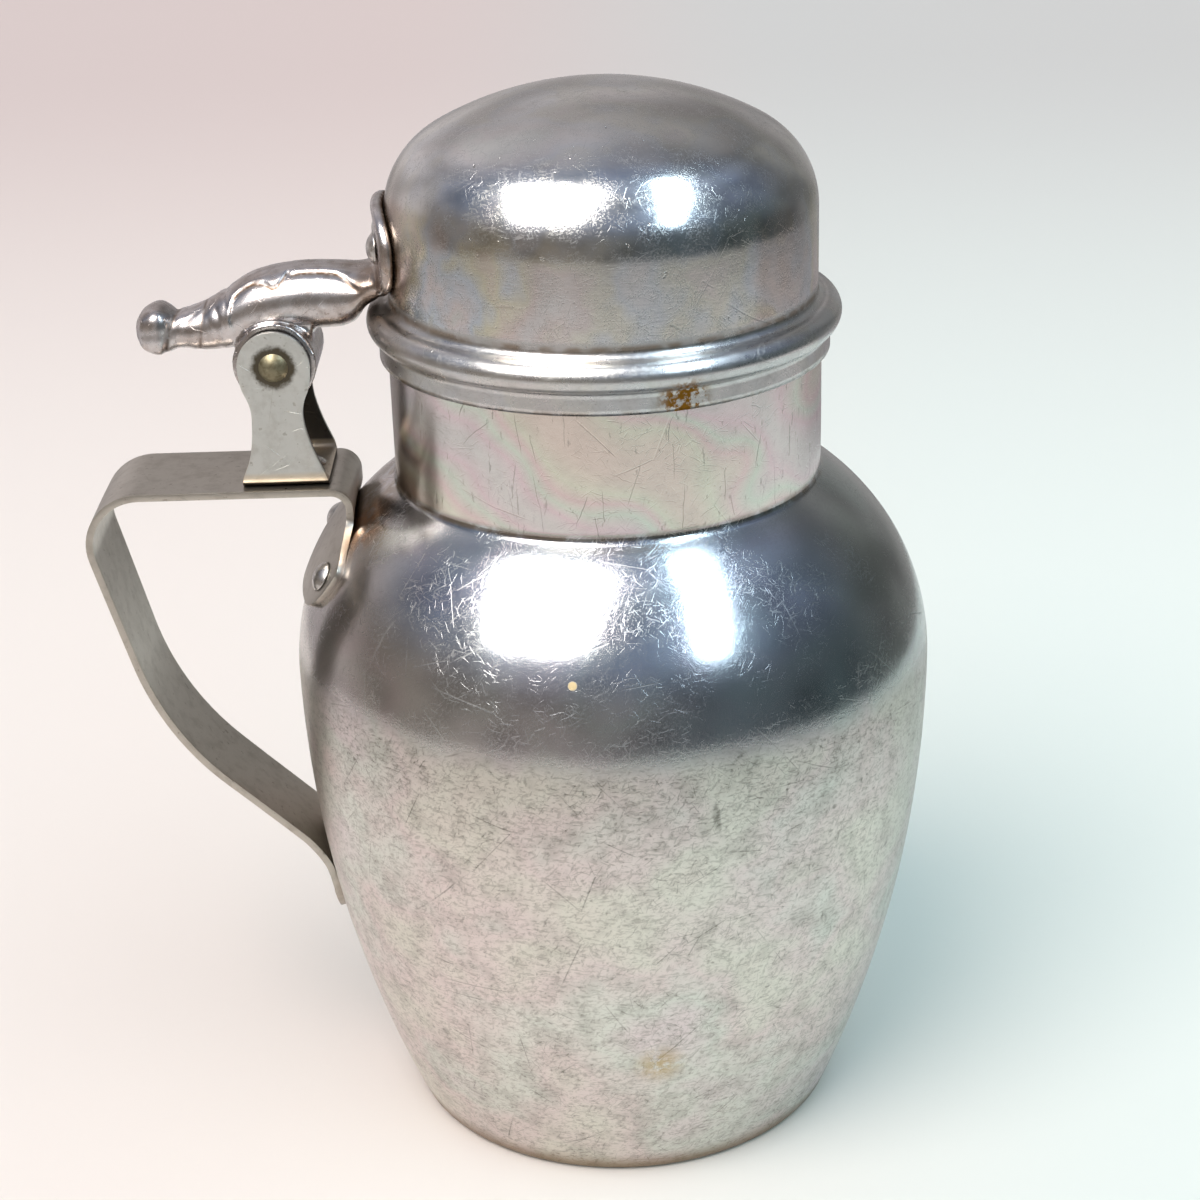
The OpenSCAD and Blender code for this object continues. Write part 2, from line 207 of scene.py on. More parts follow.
class Finish:
    # One material. Patterns have their sizes in metres, and places on a piece are in millimetres
    def __init__(self, name, tree=None):
        if tree is None:
            self.material = bpy.data.materials.new(name)
            self.material.use_nodes = True
            tree = self.material.node_tree
        self.tree = tree
        self.tree.nodes.clear()

    def node(self, kind, settings=None, sockets=None, output=0):
        made = self.tree.nodes.new(kind)
        for key, value in (settings or {}).items():
            if key == "stops":
                ramp = made.color_ramp
                while len(ramp.elements) < len(value):
                    ramp.elements.new(0.5)
                for stop, (place, colour) in zip(ramp.elements, value):
                    stop.position, stop.color = place, (*colour, 1)
            else:
                setattr(made, key, value)
        for key, value in (sockets or {}).items():
            if isinstance(value, Wire):
                self.tree.links.new(value.socket, made.inputs[key])
            elif made.inputs[key].type == "RGBA":
                made.inputs[key].default_value = (*value, 1)
            else:
                made.inputs[key].default_value = value
        return Wire(self, made.outputs[output])

    def place(self):
        return self.node("ShaderNodeTexCoord", output="Object")

    def parts(self, vector):
        made = self.node("ShaderNodeSeparateXYZ", sockets={0: vector})
        return [Wire(self, made.socket.node.outputs[k]) for k in range(3)]

    def vector(self, operation, *values, output=0):
        return self.node("ShaderNodeVectorMath", {"operation": operation}, dict(enumerate(values)), output)

    def moved(self, vector, shift):
        return self.vector("ADD", vector, shift)

    def stretched(self, vector, by):
        return self.vector("MULTIPLY", vector, by)

    def turned(self, vector, angles):
        sockets = {"Vector": vector, "Rotation": angles}
        return self.node("ShaderNodeVectorRotate", {"rotation_type": "EULER_XYZ"}, sockets)

    def noise(self, vector, size, detail=3.0, rough=0.55, output=0):
        # Noise whose features are about size metres across
        sockets = {"Vector": vector, "Scale": 1 / size, "Detail": detail, "Roughness": rough}
        return self.node("ShaderNodeTexNoise", {}, sockets, output)

    def blend(self, share, first, second, mode="MIX"):
        return self.node("ShaderNodeMix", {"data_type": "RGBA", "blend_type": mode, "clamp_factor": True},
                         {0: share, 6: first, 7: second}, 2)

    def tinted(self, share, colour, tint):
        return self.blend(share, colour, self.blend(1.0, colour, tint, "MULTIPLY"))

    def ramp(self, stops, value):
        return self.node("ShaderNodeValToRGB", {"stops": stops}, {0: value})

    def spot(self, place, centre, radius, soft=0.5):
        # 1 within radius of a point on the piece, 0 outside it
        away = self.vector("DISTANCE", place, tuple(c * mm for c in centre), output=1)
        return away.over(radius, radius * (1 - soft))

    def scratches(self, place, cell, width, share, lean=(1, 1, 1), shift=0.0):
        # One straight scratch, at a random turn, in a share of cells that are about cell metres across
        moved = self.vector("MULTIPLY_ADD", place, (1 / cell,) * 3, (shift, shift * 0.7, shift * 1.3))
        near = self.node("ShaderNodeTexVoronoi", {}, {"Vector": moved, "Scale": 1.0, "Randomness": 1.0}, "Distance")
        owner = near.socket.node
        chance = Wire(self, owner.outputs["Color"])
        turn = self.vector("NORMALIZE", self.stretched(self.vector("SUBTRACT", chance, (0.5, 0.5, 0.5)), lean))
        offset = self.vector("SUBTRACT", moved, Wire(self, owner.outputs["Position"]))
        across = abs(self.vector("DOT_PRODUCT", offset, turn, output=1))
        line = across.rise(width / cell, width / cell * 0.35)
        return line * near.rise(0.62, 0.4) * self.chosen(chance, share)

    def chosen(self, chance, share):
        # Keeps a share of the cells, from a digit of their random colour that isn't used otherwise
        red, green, blue = self.parts(chance)
        drawn = self.node("ShaderNodeMath", {"operation": "FRACT"}, {0: red * 7.31 + green * 3.77 + blue * 5.13})
        return drawn.rise(share, share * 0.8)

    def largest(self, wires):
        first, *others = wires
        for other in others:
            first = first.larger(other)
        return first

    def scratchSet(self, place, kinds):
        # Each kind is (cell, width, share of the cells, lean, shift)
        return self.largest([self.scratches(place, *kind) for kind in kinds])

    def hairlines(self, place, size, turns):
        # Dense short hairlines: noise drawn out along a few directions
        drawnOut = [self.stretched(self.turned(place, turn), (0.07, 1, 1)) for turn in turns]
        return self.largest([self.noise(place, size, 2, 0.6).rise(0.57, 0.68) for place in drawnOut])

    def surface(self, colour, roughness, height=None, depth=0.0):
        # Finishes the material with a metal surface; height times depth, in metres, goes into its bump
        sockets = {"Base Color": colour, "Roughness": roughness, "Metallic": 1.0}
        if height is not None:
            sockets["Normal"] = self.node("ShaderNodeBump", {}, {"Height": height, "Distance": depth, "Strength": 1.0})
        self.close(self.node("ShaderNodeBsdfPrincipled", {}, sockets))
        return self.material

    def close(self, shader):
        out = self.tree.nodes.new("ShaderNodeOutputMaterial")
        self.tree.links.new(shader.socket, out.inputs["Surface"])


sheetRelief = 0.00004

bodyFinish = {
    "metal": (0.72, 0.695, 0.675), "dark": (0.22, 0.21, 0.185), "polishedBlueReflection": (0.58, 0.60, 0.64),
    "filmAndWarmReflection": (0.46, 0.375, 0.33), "coolReflection": (0.22, 0.28, 0.255), "grimeAndShade": (0.22, 0.15, 0.08),
    "tan": (0.46, 0.33, 0.14), "rusty": (0.50, 0.27, 0.13), "pale": (0.60, 0.49, 0.29),
    "tints": [(0.25, (1.0, 0.93, 0.88)), (0.38, (0.98, 1.0, 0.91)), (0.48, (1.0, 0.90, 0.90)),
              (0.58, (0.93, 1.0, 0.94)), (0.68, (0.99, 0.90, 0.94)), (0.80, (0.93, 0.98, 0.97))],
    "fine": [(0.0021, 0.00006, 0.95, (1, 1, 1.6)), (0.0025, 0.00006, 0.95, (1, 1, 1.2), 21.0)],
    "finer": [(0.0014, 0.00004, 0.95, (1, 1, 1), 3.7), (0.0017, 0.00004, 0.95, (1, 1, 1), 28.0)],
    "long": [(0.008, 0.00011, 0.75, (1, 1, 1.3), 9.1), (0.013, 0.00012, 0.6, (1, 1, 1), 14.3)],
    "upright": (0.007, 0.00005, 0.7, (1, 1, 0.2), 5.2), "fainter": (0.010, 0.000045, 0.8, (1, 1, 0.12), 17.4),
    "hazeSize": 0.00026, "hazeTurns": [(0.3, 0.5, 0.2), (1.1, -0.6, 0.9), (-0.7, 0.2, 1.9), (0.2, -1.2, -0.6)],
    "satinBelow": 89, "neckFrom": 119, "creaseZ": 118.5, "bandTurns": 2 * math.pi / 0.052,
    "warmReflectionX": (-16, -46), "coolReflectionX": (14, 42), "leftEdge": (-45.5, -51.5), "rightEdge": (40, 53), "behindX": (-32.2, -34.5),
    "baseShade": (5.0, 0.4), "shadedLow": (40, 12), "shadedTop": (66, 88),
    "underHandle": ((-40, 0, 113), 17, 0.55), "rust": ((-41, -12, 113), 8.5, 0.7),
    "stain": ((5.8, -47.2, 27.8), 5.5, 0.9), "fleck": ((-6.7, -51.1, 100.3), 0.85, 0.3),
}


def agedBody():
    f, look = Finish("agedBody"), bodyFinish
    place = f.place()
    x, _, z = f.parts(place)
    # three zones: satin below, polished on the shoulder, tinted on the neck
    satin = (z + f.noise(place, 0.02, 2) * 0.006).over(look["satinBelow"] + 5.5, look["satinBelow"] - 1.5)
    neck = z.over(look["neckFrom"] - 0.6, look["neckFrom"] + 0.6)
    shoulder = (1 - satin) * (1 - neck)
    # marks: dashes round the jug and aslant, specks, scratches and a haze of hairlines
    bent = f.vector("MULTIPLY_ADD", f.noise(place, 0.005, 2, output=1), (0.0015,) * 3, place)
    flat = f.stretched(bent, (1, 1, 3.0))
    aslant = f.stretched(f.turned(bent, (0.5, 0.9, 0.4)), (1, 3.0, 3.0))
    upright = f.stretched(place, (1, 1, 0.22))
    mottle = f.noise(place, 0.0045, 4, 0.65)
    dashes = (f.noise(flat, 0.0014, 3, 0.65).rise(0.50, 0.64) * 0.8).larger(
        f.noise(aslant, 0.0018, 3, 0.65).rise(0.54, 0.66) * 0.8)
    specks = f.noise(f.moved(place, (0.3, 0.1, 0.2)), 0.0009, 2, 0.5).rise(0.62, 0.70)
    patchy = f.noise(place, 0.010, 3, 0.6).rise(0.38, 0.62, 0.15, 1.0)
    haze = f.hairlines(place, look["hazeSize"], look["hazeTurns"])
    lines = f.largest([f.scratchSet(bent, look["fine"]) * 0.8, f.scratchSet(place, look["finer"]) * 0.7,
                       f.scratchSet(place, look["long"])]) * patchy
    swerved = f.moved(place, f.stretched(f.noise(place, 0.006, 2, output=1), (0.0012, 0.0012, 0)))
    neckLines = f.largest([f.scratches(swerved, *look["upright"]), f.scratches(swerved, *look["fainter"]) * 0.8,
                           f.noise(upright, 0.0012, 3, 0.7).rise(0.62, 0.72) * 0.6,
                           f.noise(f.moved(upright, (0.2, 0.4, 0.1)), 0.0009, 3, 0.7).rise(0.64, 0.71) * 0.6]) * neck
    # wear marks, with painted shade that darkens the satin towards the bottom
    wornAndShaded = (satin * (z.over(*look["shadedLow"]) * 0.15 + dashes * 0.7 + specks * 0.4 + lines * 0.85)
            + shoulder * (lines * 0.45 + haze * 0.18))
    # colour: faint tints, in slanting bands on the neck
    slope = f.node("ShaderNodeMath", {"operation": "SINE"},
                   {0: (x + z * 1.3) * look["bandTurns"] + f.noise(place, 0.022, 1) * 5.0})
    tintAt = f.noise(f.stretched(place, (1, 1, 1.3)), 0.030, 3, 0.5)
    tint = f.ramp(look["tints"], tintAt + (slope * 0.26 + 0.5 - tintAt) * neck)
    # the shoulder's metal is darker and bluish: a painted reflection of the dark room
    metal = f.blend(shoulder, look["metal"], look["polishedBlueReflection"])
    base = f.tinted(0.8 + neck * 0.2 - shoulder * 0.3, metal, tint)
    base = f.tinted(neck * 0.4, base, tint)
    # painted reflections on the shoulder: warm on its left side, dark teal on its right side
    base = f.blend(shoulder * x.over(*look["warmReflectionX"]) * 0.5, base, look["filmAndWarmReflection"])
    base = f.blend(shoulder * x.over(*look["coolReflectionX"]) * 0.5, base, look["coolReflection"])
    # painted shade along the satin's left edge and a painted cool reflection along its right edge
    base = f.blend(satin * x.over(*look["leftEdge"]) * 0.4, base, look["grimeAndShade"])
    base = f.blend(satin * x.over(*look["rightEdge"]) * 0.32, base, look["coolReflection"])
    # marks and painted shade: the top of the satin is painted darker
    marksAndShade = (wornAndShaded * 0.62 + neckLines * 0.65 + mottle.rise(0.42, 0.72) * (satin * 0.20 + 0.08)
             + satin * z.over(*look["shadedTop"]) * 0.22)
    base = f.blend(marksAndShade, base, look["dark"])
    # darker in the crease and round the handle, painted contact shade at the base, painted shade on the neck behind the
    # handle, then the stains
    crease = (1 - abs(z - look["creaseZ"] * mm).over(0.0, 1.2)) * f.noise(place, 0.003, 2).rise(0.35, 0.6)
    underHandle = f.spot(place, *look["underHandle"]) * f.noise(place, 0.003, 3, 0.6).rise(0.35, 0.55)
    # painted shade on the neck's left side, where the bracket stands beside it
    behind = x.over(*look["behindX"]) * neck
    dirtAndShade = crease * 0.6 + z.over(*look["baseShade"]) * 0.85 + underHandle * 0.6 + behind * 0.75
    base = f.blend(dirtAndShade, base, look["grimeAndShade"])
    stain = f.spot(place, *look["stain"]) * f.noise(place, 0.0022, 4, 0.7).rise(0.36, 0.56)
    base = f.blend(stain * 0.7, base, look["tan"])
    rust = f.spot(place, *look["rust"]) * f.noise(place, 0.0035, 3, 0.6).rise(0.34, 0.58)
    base = f.blend(rust * 0.75, base, look["rusty"])
    fleck = f.spot(place, *look["fleck"])
    base = f.blend(fleck, base, look["pale"])
    rough = (satin * 0.22 + 0.14 + mottle * 0.08 + (lines * 0.18 + haze * (patchy * 0.08 + 0.03)) * shoulder
             + neck * 0.04 + fleck * 0.3)
    height = (f.noise(place, 0.0022, 3, 0.6) * 0.3 + 1.0 - lines * 0.25 - haze * shoulder * 0.05
              - satin * (dashes * 0.8 + specks) * 0.6 - neckLines * 0.4)
    return f.surface(base, rough, height, sheetRelief)


capFinish = {
    "metal": (0.63, 0.63, 0.635), "dark": (0.34, 0.33, 0.32), "grimeAndShade": (0.20, 0.12, 0.05),
    "edge": (0.36, 0.25, 0.20), "rusty": (0.24, 0.11, 0.012),
    "tints": [(0.30, (0.97, 0.98, 1.0)), (0.40, (1.0, 0.82, 0.77)), (0.47, (0.99, 0.94, 0.72)),
              (0.54, (0.84, 0.91, 1.0)), (0.62, (1.0, 0.91, 0.90)), (0.72, (0.82, 0.96, 0.88))],
    "fine": [(0.0026, 0.00005, 0.95, (1, 1, 1), 1.9), (0.0022, 0.00005, 0.95, (1, 1, 1), 15.0)],
    "finer": (0.0015, 0.00004, 0.95, (1, 1, 1.2), 6.3), "long": (0.012, 0.00010, 0.6, (1, 1, 1), 11.0),
    "hazeSize": 0.00028, "hazeTurns": [(0.5, 0.1, 0.4), (1.3, -0.6, 0.2), (-0.7, 0.8, 1.5), (0.4, -1.0, -0.9)],
    "pits": [(-12.8, -29.1, 172.8), (-5.8, -30.4, 173.7)], "pitR": 1.1,
    "wallTop": 167, "beadTop": 150.5, "ringZ": 149.4, "hem": (140.6, 139.6), "wallShade": (153, 168),
    "leftEdge": (-29.5, -34.0), "rightEdge": ((22.5, 25.0), (32.0, 28.5)), "handleSide": (-30.0, -34.5),
    "stain": ((11.9, -35.7, 141.1), 5.4, 0.6),
}


def agedCap():
    f, look = Finish("agedCap"), capFinish
    place = f.place()
    x, _, z = f.parts(place)
    wall = (z.over(look["wallTop"] + 1.5, look["wallTop"] - 1.5)
            * z.over(look["beadTop"] - 0.5, look["beadTop"] + 0.5))
    bead = z.over(look["beadTop"] + 0.3, look["beadTop"] - 0.3)
    mottle = f.noise(place, 0.0035, 4, 0.65)
    haze = f.hairlines(place, look["hazeSize"], look["hazeTurns"]) * mottle.rise(0.38, 0.6, 0.2, 1.0)
    spun = f.noise(f.stretched(place, (1, 1, 9)), 0.003, 3, 0.6)
    lines = f.largest([f.scratchSet(place, look["fine"]) * 0.7, f.scratches(place, *look["finer"]) * 0.6,
                       f.scratches(place, *look["long"]) * 0.8])
    lines = lines * f.noise(place, 0.009, 3, 0.6).rise(0.36, 0.62, 0.2, 1.0)
    pits = f.largest([f.noise(f.moved(place, (0.17, 0.05, 0.4)), 0.0016, 3, 0.6).rise(0.69, 0.74)]
                     + [f.spot(place, centre, look["pitR"], 0.4) * f.noise(place, 0.0009, 2).rise(0.40, 0.55)
                        for centre in look["pits"]])
    # colour: most of the tint is on the wall, to the left and the right
    tint = f.ramp(look["tints"], f.noise(f.stretched(place, (1, 1, 0.8)), 0.015, 3, 0.5))
    tinted = x.over(-4, -26, 0.25, 0.85).larger(x.over(10, 30, 0.0, 0.5))
    base = f.tinted(0.2 + wall * tinted, look["metal"], tint)
    marksAndShade = (lines * 0.35 + haze * 0.18 + pits * 0.7 + mottle.rise(0.48, 0.75) * 0.2 + bead * 0.28
             + wall * z.over(*look["wallShade"]) * 0.35)
    base = f.blend(marksAndShade, base, look["dark"])
    # painted shade along the wall's left edge, and a darker vertical band on its right
    outer, inner = look["rightEdge"]
    edges = wall * (x.over(*look["leftEdge"]) * 0.45).larger(x.over(*outer) * x.over(*inner) * 0.4)
    base = f.blend(edges, base, look["edge"])
    # grime at the join of the bead and the wall, grime and painted shade along the skirt's hem, and darker on the
    # handle side
    ring = (1 - abs(z - look["ringZ"] * mm).over(0.1, 0.9)) * f.noise(place, 0.004, 2).rise(0.3, 0.55)
    hem = z.over(*look["hem"]) * f.noise(place, 0.003, 3).rise(0.45, 0.6)
    base = f.blend(ring * 0.6 + hem * 0.4 + x.over(*look["handleSide"]) * 0.35, base, look["grimeAndShade"])
    stain = (f.spot(place, *look["stain"])
             * f.noise(f.moved(place, (0.05, 0.02, 0.3)), 0.0017, 4, 0.7).rise(0.44, 0.54))
    base = f.blend(stain, base, look["rusty"])
    rough = 0.13 + mottle * 0.09 + lines * 0.14 + haze * 0.13 + spun * 0.03 + bead * 0.09 + stain * 0.3
    height = f.noise(place, 0.0020, 3, 0.6) * 0.25 + 1.0 - lines * 0.25 - haze * 0.09 - pits * 0.8 + spun * 0.12
    return f.surface(base, rough, height, sheetRelief)


dullFinish = {
    "oil": (0.055, 0.040, 0.018), "inside": (0.025, 0.020, 0.015), "bend": (0.62, 0.50, 0.35), "gap": (0.02, 0.015, 0.01),
    "insideY": (8.3, 8.0), "insideZ": (119.5, 121.5), "bendZ": ((118.4, 118.6), (121.4, 120.4)),
    "gapZ": ((118.4, 118.5), (119.6, 119.3)),
}


def dullSheet(name, metal, dark, grimeRing, brush, seed, smooth=0.36):
    # Unpolished sheet; grimeRing is a place with the radii between which dirt fades out round it
    f, look = Finish(name), dullFinish
    place = f.place()
    _, y, z = f.parts(place)
    mottle = f.noise(place, 0.003, 4, 0.65)
    drawn = f.noise(f.stretched(place, brush), 0.0009, 3, 0.6)
    lines = f.scratchSet(place, [(0.0035, 0.00005, 0.8, (1, 1, 1), seed), (0.009, 0.00006, 0.5, (1, 1, 1), seed + 4.0)])
    pits = f.noise(f.moved(place, (seed, 0.1, 0.2)), 0.0010, 2, 0.5).rise(0.66, 0.72)
    base = f.blend(mottle.rise(0.42, 0.72) * 0.4 + pits * 0.6 + lines * 0.2, metal, dark)
    centre, inner, outer = grimeRing
    sideways = f.stretched(f.vector("SUBTRACT", place, tuple(c * mm for c in centre)), (1, 0, 1))
    ragged = f.vector("LENGTH", sideways, output=1) + (f.noise(place, 0.0011, 3, 0.7) - 0.5) * 0.0016
    base = f.blend(ragged.over(outer, inner) * 0.92, base, look["oil"])
    # the bracket's inside in painted shade, its bottom bend, and a painted shadow in the gap under it
    base = f.blend(abs(y).over(*look["insideY"]) * z.over(*look["insideZ"]) * 0.93, base, look["inside"])
    for part, share in (("bend", 0.55), ("gap", 0.95)):
        low, high = look[part + "Z"]
        base = f.blend(z.over(*low) * z.over(*high) * share, base, look[part])
    rough = mottle * 0.10 + drawn * 0.06 + smooth
    height = f.noise(place, 0.0016, 3, 0.6) * 0.3 + drawn * 0.15 - lines * 0.5 - pits * 0.5
    return f.surface(base, rough, height, sheetRelief)


castFinish = {
    "metal": (0.57, 0.54, 0.54), "dark": (0.27, 0.235, 0.22), "filmAndWarmReflection": (0.26, 0.17, 0.11), "dirtAndShade": (0.10, 0.06, 0.035),
    "rootX": (-44.0, -38.5), "rootZ": (162, 156),
}


def castMetal():
    # Polished casting: bright, with dirt where the relief is cut
    f, look = Finish("castMetal"), castFinish
    place = f.place()
    x, _, z = f.parts(place)
    cut = f.node("ShaderNodeAttribute", {"attribute_name": "cut"}, output="Fac")
    mottle = f.noise(place, 0.0022, 4, 0.6)
    lines = f.scratches(place, 0.0028, 0.00005, 0.8, (1, 1, 1), 2.4)
    pits = f.noise(f.moved(place, (0.4, 0.3, 0.2)), 0.0010, 2, 0.5).rise(0.68, 0.73)
    base = f.blend(mottle.rise(0.42, 0.70) * 0.5 + pits * 0.5 + lines * 0.2, look["metal"], look["dark"])
    filmAndWarmReflection = f.noise(f.moved(place, (0.1, 0.6, 0.2)), 0.005, 3, 0.6).rise(0.42, 0.62)
    root = x.over(*look["rootX"]) * z.over(*look["rootZ"])
    base = f.blend((filmAndWarmReflection * 0.35 + root * 0.5) * 0.8, base, look["filmAndWarmReflection"])
    base = f.blend(cut * f.noise(place, 0.0012, 3).rise(0.25, 0.55), base, look["dirtAndShade"])
    rough = 0.22 + mottle * 0.10 + lines * 0.1 + cut * 0.25
    height = f.noise(place, 0.0014, 3, 0.6) * 0.5 - lines * 0.4 - pits * 0.5
    return f.surface(base, rough, height, sheetRelief)


def headMetal(name, metal, dark, rough, seed):
    f = Finish(name)
    place = f.place()
    mottle = f.noise(f.moved(place, (seed, 0, 0)), 0.0011, 4, 0.65)
    lines = f.scratches(place, 0.0016, 0.00004, 0.8, (1, 1, 1), seed)
    base = f.blend(mottle.rise(0.42, 0.68) * 0.7 + lines * 0.2, metal, dark)
    return f.surface(base, mottle * 0.14 + rough, mottle * 0.8 - lines * 0.5, 0.00005)


# Geometry Nodes: one lathe turns a profile about Z, and one tree sets a head at each place

def newTree(name, inputs):
    # An empty tree with its inputs, and a function that adds a node to it
    tree = bpy.data.node_groups.new(name, "GeometryNodeTree")
    tree.is_modifier = True
    for label, kind in inputs.items():
        tree.interface.new_socket(label, in_out="INPUT", socket_type="NodeSocket" + kind)
    tree.interface.new_socket("Made", in_out="OUTPUT", socket_type="NodeSocketGeometry")

    def add(kind, settings=None, links=None, values=None):
        made = tree.nodes.new(kind)
        for key, value in (settings or {}).items():
            setattr(made, key, value)
        for key, value in (values or {}).items():
            made.inputs[key].default_value = value
        for key, socket in (links or {}).items():
            tree.links.new(socket, made.inputs[key])
        return made.outputs

    return tree, add


def latheTree():
    tree, add = newTree("lathe", {"Profile": "Geometry", "Around": "Int", "Along": "Int",
                                  "Wave Depth": "Float", "Wave Size": "Float", "Seed": "Float"})
    given = add("NodeGroupInput")

    def maths(operation, first, second=0.0):
        links = {k: v for k, v in ((0, first), (1, second)) if not isinstance(v, (int, float))}
        values = {k: v for k, v in ((0, first), (1, second)) if isinstance(v, (int, float))}
        return add("ShaderNodeMath", {"operation": operation}, links, values)[0]

    def point(radius, cosine, sine, height):
        across = {0: maths("MULTIPLY", radius, cosine), 1: maths("MULTIPLY", radius, sine), 2: height}
        return add("ShaderNodeCombineXYZ", {}, across)[0]

    around = maths("ADD", given["Around"], 1)
    grid = add("GeometryNodeMeshGrid", {}, {"Vertices X": around, "Vertices Y": given["Along"]})
    index = add("GeometryNodeInputIndex")[0]
    column = maths("FLOOR", maths("DIVIDE", maths("ADD", index, 0.5), given["Along"]))
    row = maths("SUBTRACT", index, maths("MULTIPLY", column, given["Along"]))
    profile = add("GeometryNodeSampleIndex", {"data_type": "FLOAT_VECTOR"},
                  {"Geometry": given["Profile"], "Value": add("GeometryNodeInputPosition")[0], "Index": row})[0]
    radius, _, height = add("ShaderNodeSeparateXYZ", {}, {0: profile})
    angle = maths("DIVIDE", maths("MULTIPLY", column, 2 * math.pi), given["Around"])
    cosine, sine = maths("COSINE", angle), maths("SINE", angle)
    waves = add("ShaderNodeTexNoise", {"noise_dimensions": "4D"},
                {"Vector": point(radius, cosine, sine, height), "W": given["Seed"],
                 "Scale": maths("DIVIDE", 1.0, given["Wave Size"])}, {"Detail": 1.0})[0]
    # the shell only ever sinks inwards, and not where it is narrow
    keep = add("ShaderNodeMapRange", {}, {"Value": radius}, {"From Min": 0.02, "From Max": 0.03})[0]
    sunk = maths("SUBTRACT", radius, maths("MULTIPLY", maths("MULTIPLY", waves, keep), given["Wave Depth"]))
    moved = add("GeometryNodeSetPosition", {}, {"Geometry": grid[0], "Position": point(sunk, cosine, sine, height)})[0]
    welded = add("GeometryNodeMergeByDistance", {}, {"Geometry": moved}, {"Distance": 1e-7})[0]
    add("NodeGroupOutput", {}, {0: add("GeometryNodeRealizeInstances", {}, {"Geometry": welded})[0]})
    return tree


def setTree():
    tree, add = newTree("setHeads", {"Places": "Geometry", "Form": "Object", "Size Spread": "Float", "Seed": "Int"})
    given = add("NodeGroupInput")
    form = add("GeometryNodeObjectInfo", {}, {"Object": given["Form"]})["Geometry"]
    facing = add("GeometryNodeInputNamedAttribute", {"data_type": "FLOAT_VECTOR"}, {}, {"Name": "facing"})["Attribute"]
    turn = add("FunctionNodeAlignRotationToVector", {"axis": "Z"}, {"Vector": facing})["Rotation"]
    low = add("ShaderNodeMath", {"operation": "SUBTRACT"}, {1: given["Size Spread"]}, {0: 1.0})[0]
    size = add("FunctionNodeRandomValue", {"data_type": "FLOAT"},
               {"Min": low, "Seed": given["Seed"]}, {"Max": 1.0})["Value"]
    heads = add("GeometryNodeInstanceOnPoints", {},
                {"Points": given["Places"], "Instance": form, "Rotation": turn, "Scale": size})[0]
    add("NodeGroupOutput", {}, {0: add("GeometryNodeRealizeInstances", {}, {0: heads})[0]})
    return tree


def useTree(piece, tree, values):
    modifier = piece.modifiers.new("shape", "NODES")
    modifier.node_group = tree
    named = {item.name: item.identifier for item in tree.interface.items_tree if item.in_out == "INPUT"}
    for name, value in values.items():
        modifier[named[name]] = value


lathe, setter = latheTree(), setTree()


def turnedPiece(name, profile, around, waves):
    # waves is how deep and how wide its waves are, and their seed
    depth, width, seed = waves
    piece = meshObject(name, [(max(r, 0) * mm, 0, z * mm) for r, z in profile], [])
    useTree(piece, lathe, {"Around": around, "Along": len(profile), "Wave Depth": depth * mm, "Wave Size": width * mm,
                           "Seed": seed})
    return settle(piece, 1e-6)


jug = {"bellyR": 54.95, "bellyZ": 84, "lowerArcR": 216, "shoulderArcR": 40, "neckR": 36.2, "rimZ": 146.9,
       "sheet": 1.1, "baseCorner": 2, "creaseR": 1.5, "around": 256, "step": 1.1, "insideStep": 3.0,
       "waves": (0.22, 26, 1.0)}


def jugRing(arc, z, outside=0.0):
    # The radius of the jug at a height on one of its arcs, or this far outside it
    return jug["bellyR"] - jug[arc] + np.sqrt(np.maximum((jug[arc] + outside) ** 2 - (z - jug["bellyZ"]) ** 2, 0))


def jugLine(inside):
    # The jug's outline from the middle of its base to the neck, this far inside its outer surface
    lowerR, shoulderR, creaseR, corner = jug["lowerArcR"], jug["shoulderArcR"], jug["creaseR"], jug["baseCorner"]
    lowerX, shoulderX = jug["bellyR"] - lowerR, jug["bellyR"] - shoulderR
    up, reach = jug["bellyZ"] - corner, lowerR - corner
    cornerX, baseA = lowerX + math.sqrt(reach ** 2 - up ** 2), -math.degrees(math.asin(up / reach))
    creaseX = jug["neckR"] + creaseR
    creaseUp = math.sqrt((shoulderR + creaseR) ** 2 - (creaseX - shoulderX) ** 2)
    creaseA = math.degrees(math.atan2(creaseUp, creaseX - shoulderX))
    return ([(0, inside)] + arcPoints((cornerX, corner), corner - inside, -90, baseA, 6)
            + arcPoints((lowerX, jug["bellyZ"]), lowerR - inside, baseA, 0, 60)
            + arcPoints((shoulderX, jug["bellyZ"]), shoulderR - inside, 1.2, creaseA, 50)
            + arcPoints((creaseX, jug["bellyZ"] + creaseUp), creaseR + inside, 180 + creaseA, 180, 6))


def jugShell():
    half = jug["sheet"] / 2
    rim = arcPoints((jug["neckR"] - half, jug["rimZ"] - half), half, 0, 180, 8)
    outer, inner = evened(jugLine(0) + rim, jug["step"]), evened(jugLine(jug["sheet"])[::-1], jug["insideStep"])
    return turnedPiece("jugShell", outer + inner, jug["around"], jug["waves"])


placed(jugShell(), "jug", ["jug_body"], agedBody())

cap = {"wallR": 35.6, "topZ": 183.1, "cornerR": 15, "domeR": 58, "sheet": 0.8, "skirtR": 37.6, "skirtZ": 139.5,
       "beadZ": 145.4, "beadR": 2.5, "beadMiddle": 37, "around": 240, "step": 0.9, "insideStep": 2.5,
       "waves": (0.16, 22, 5.0)}


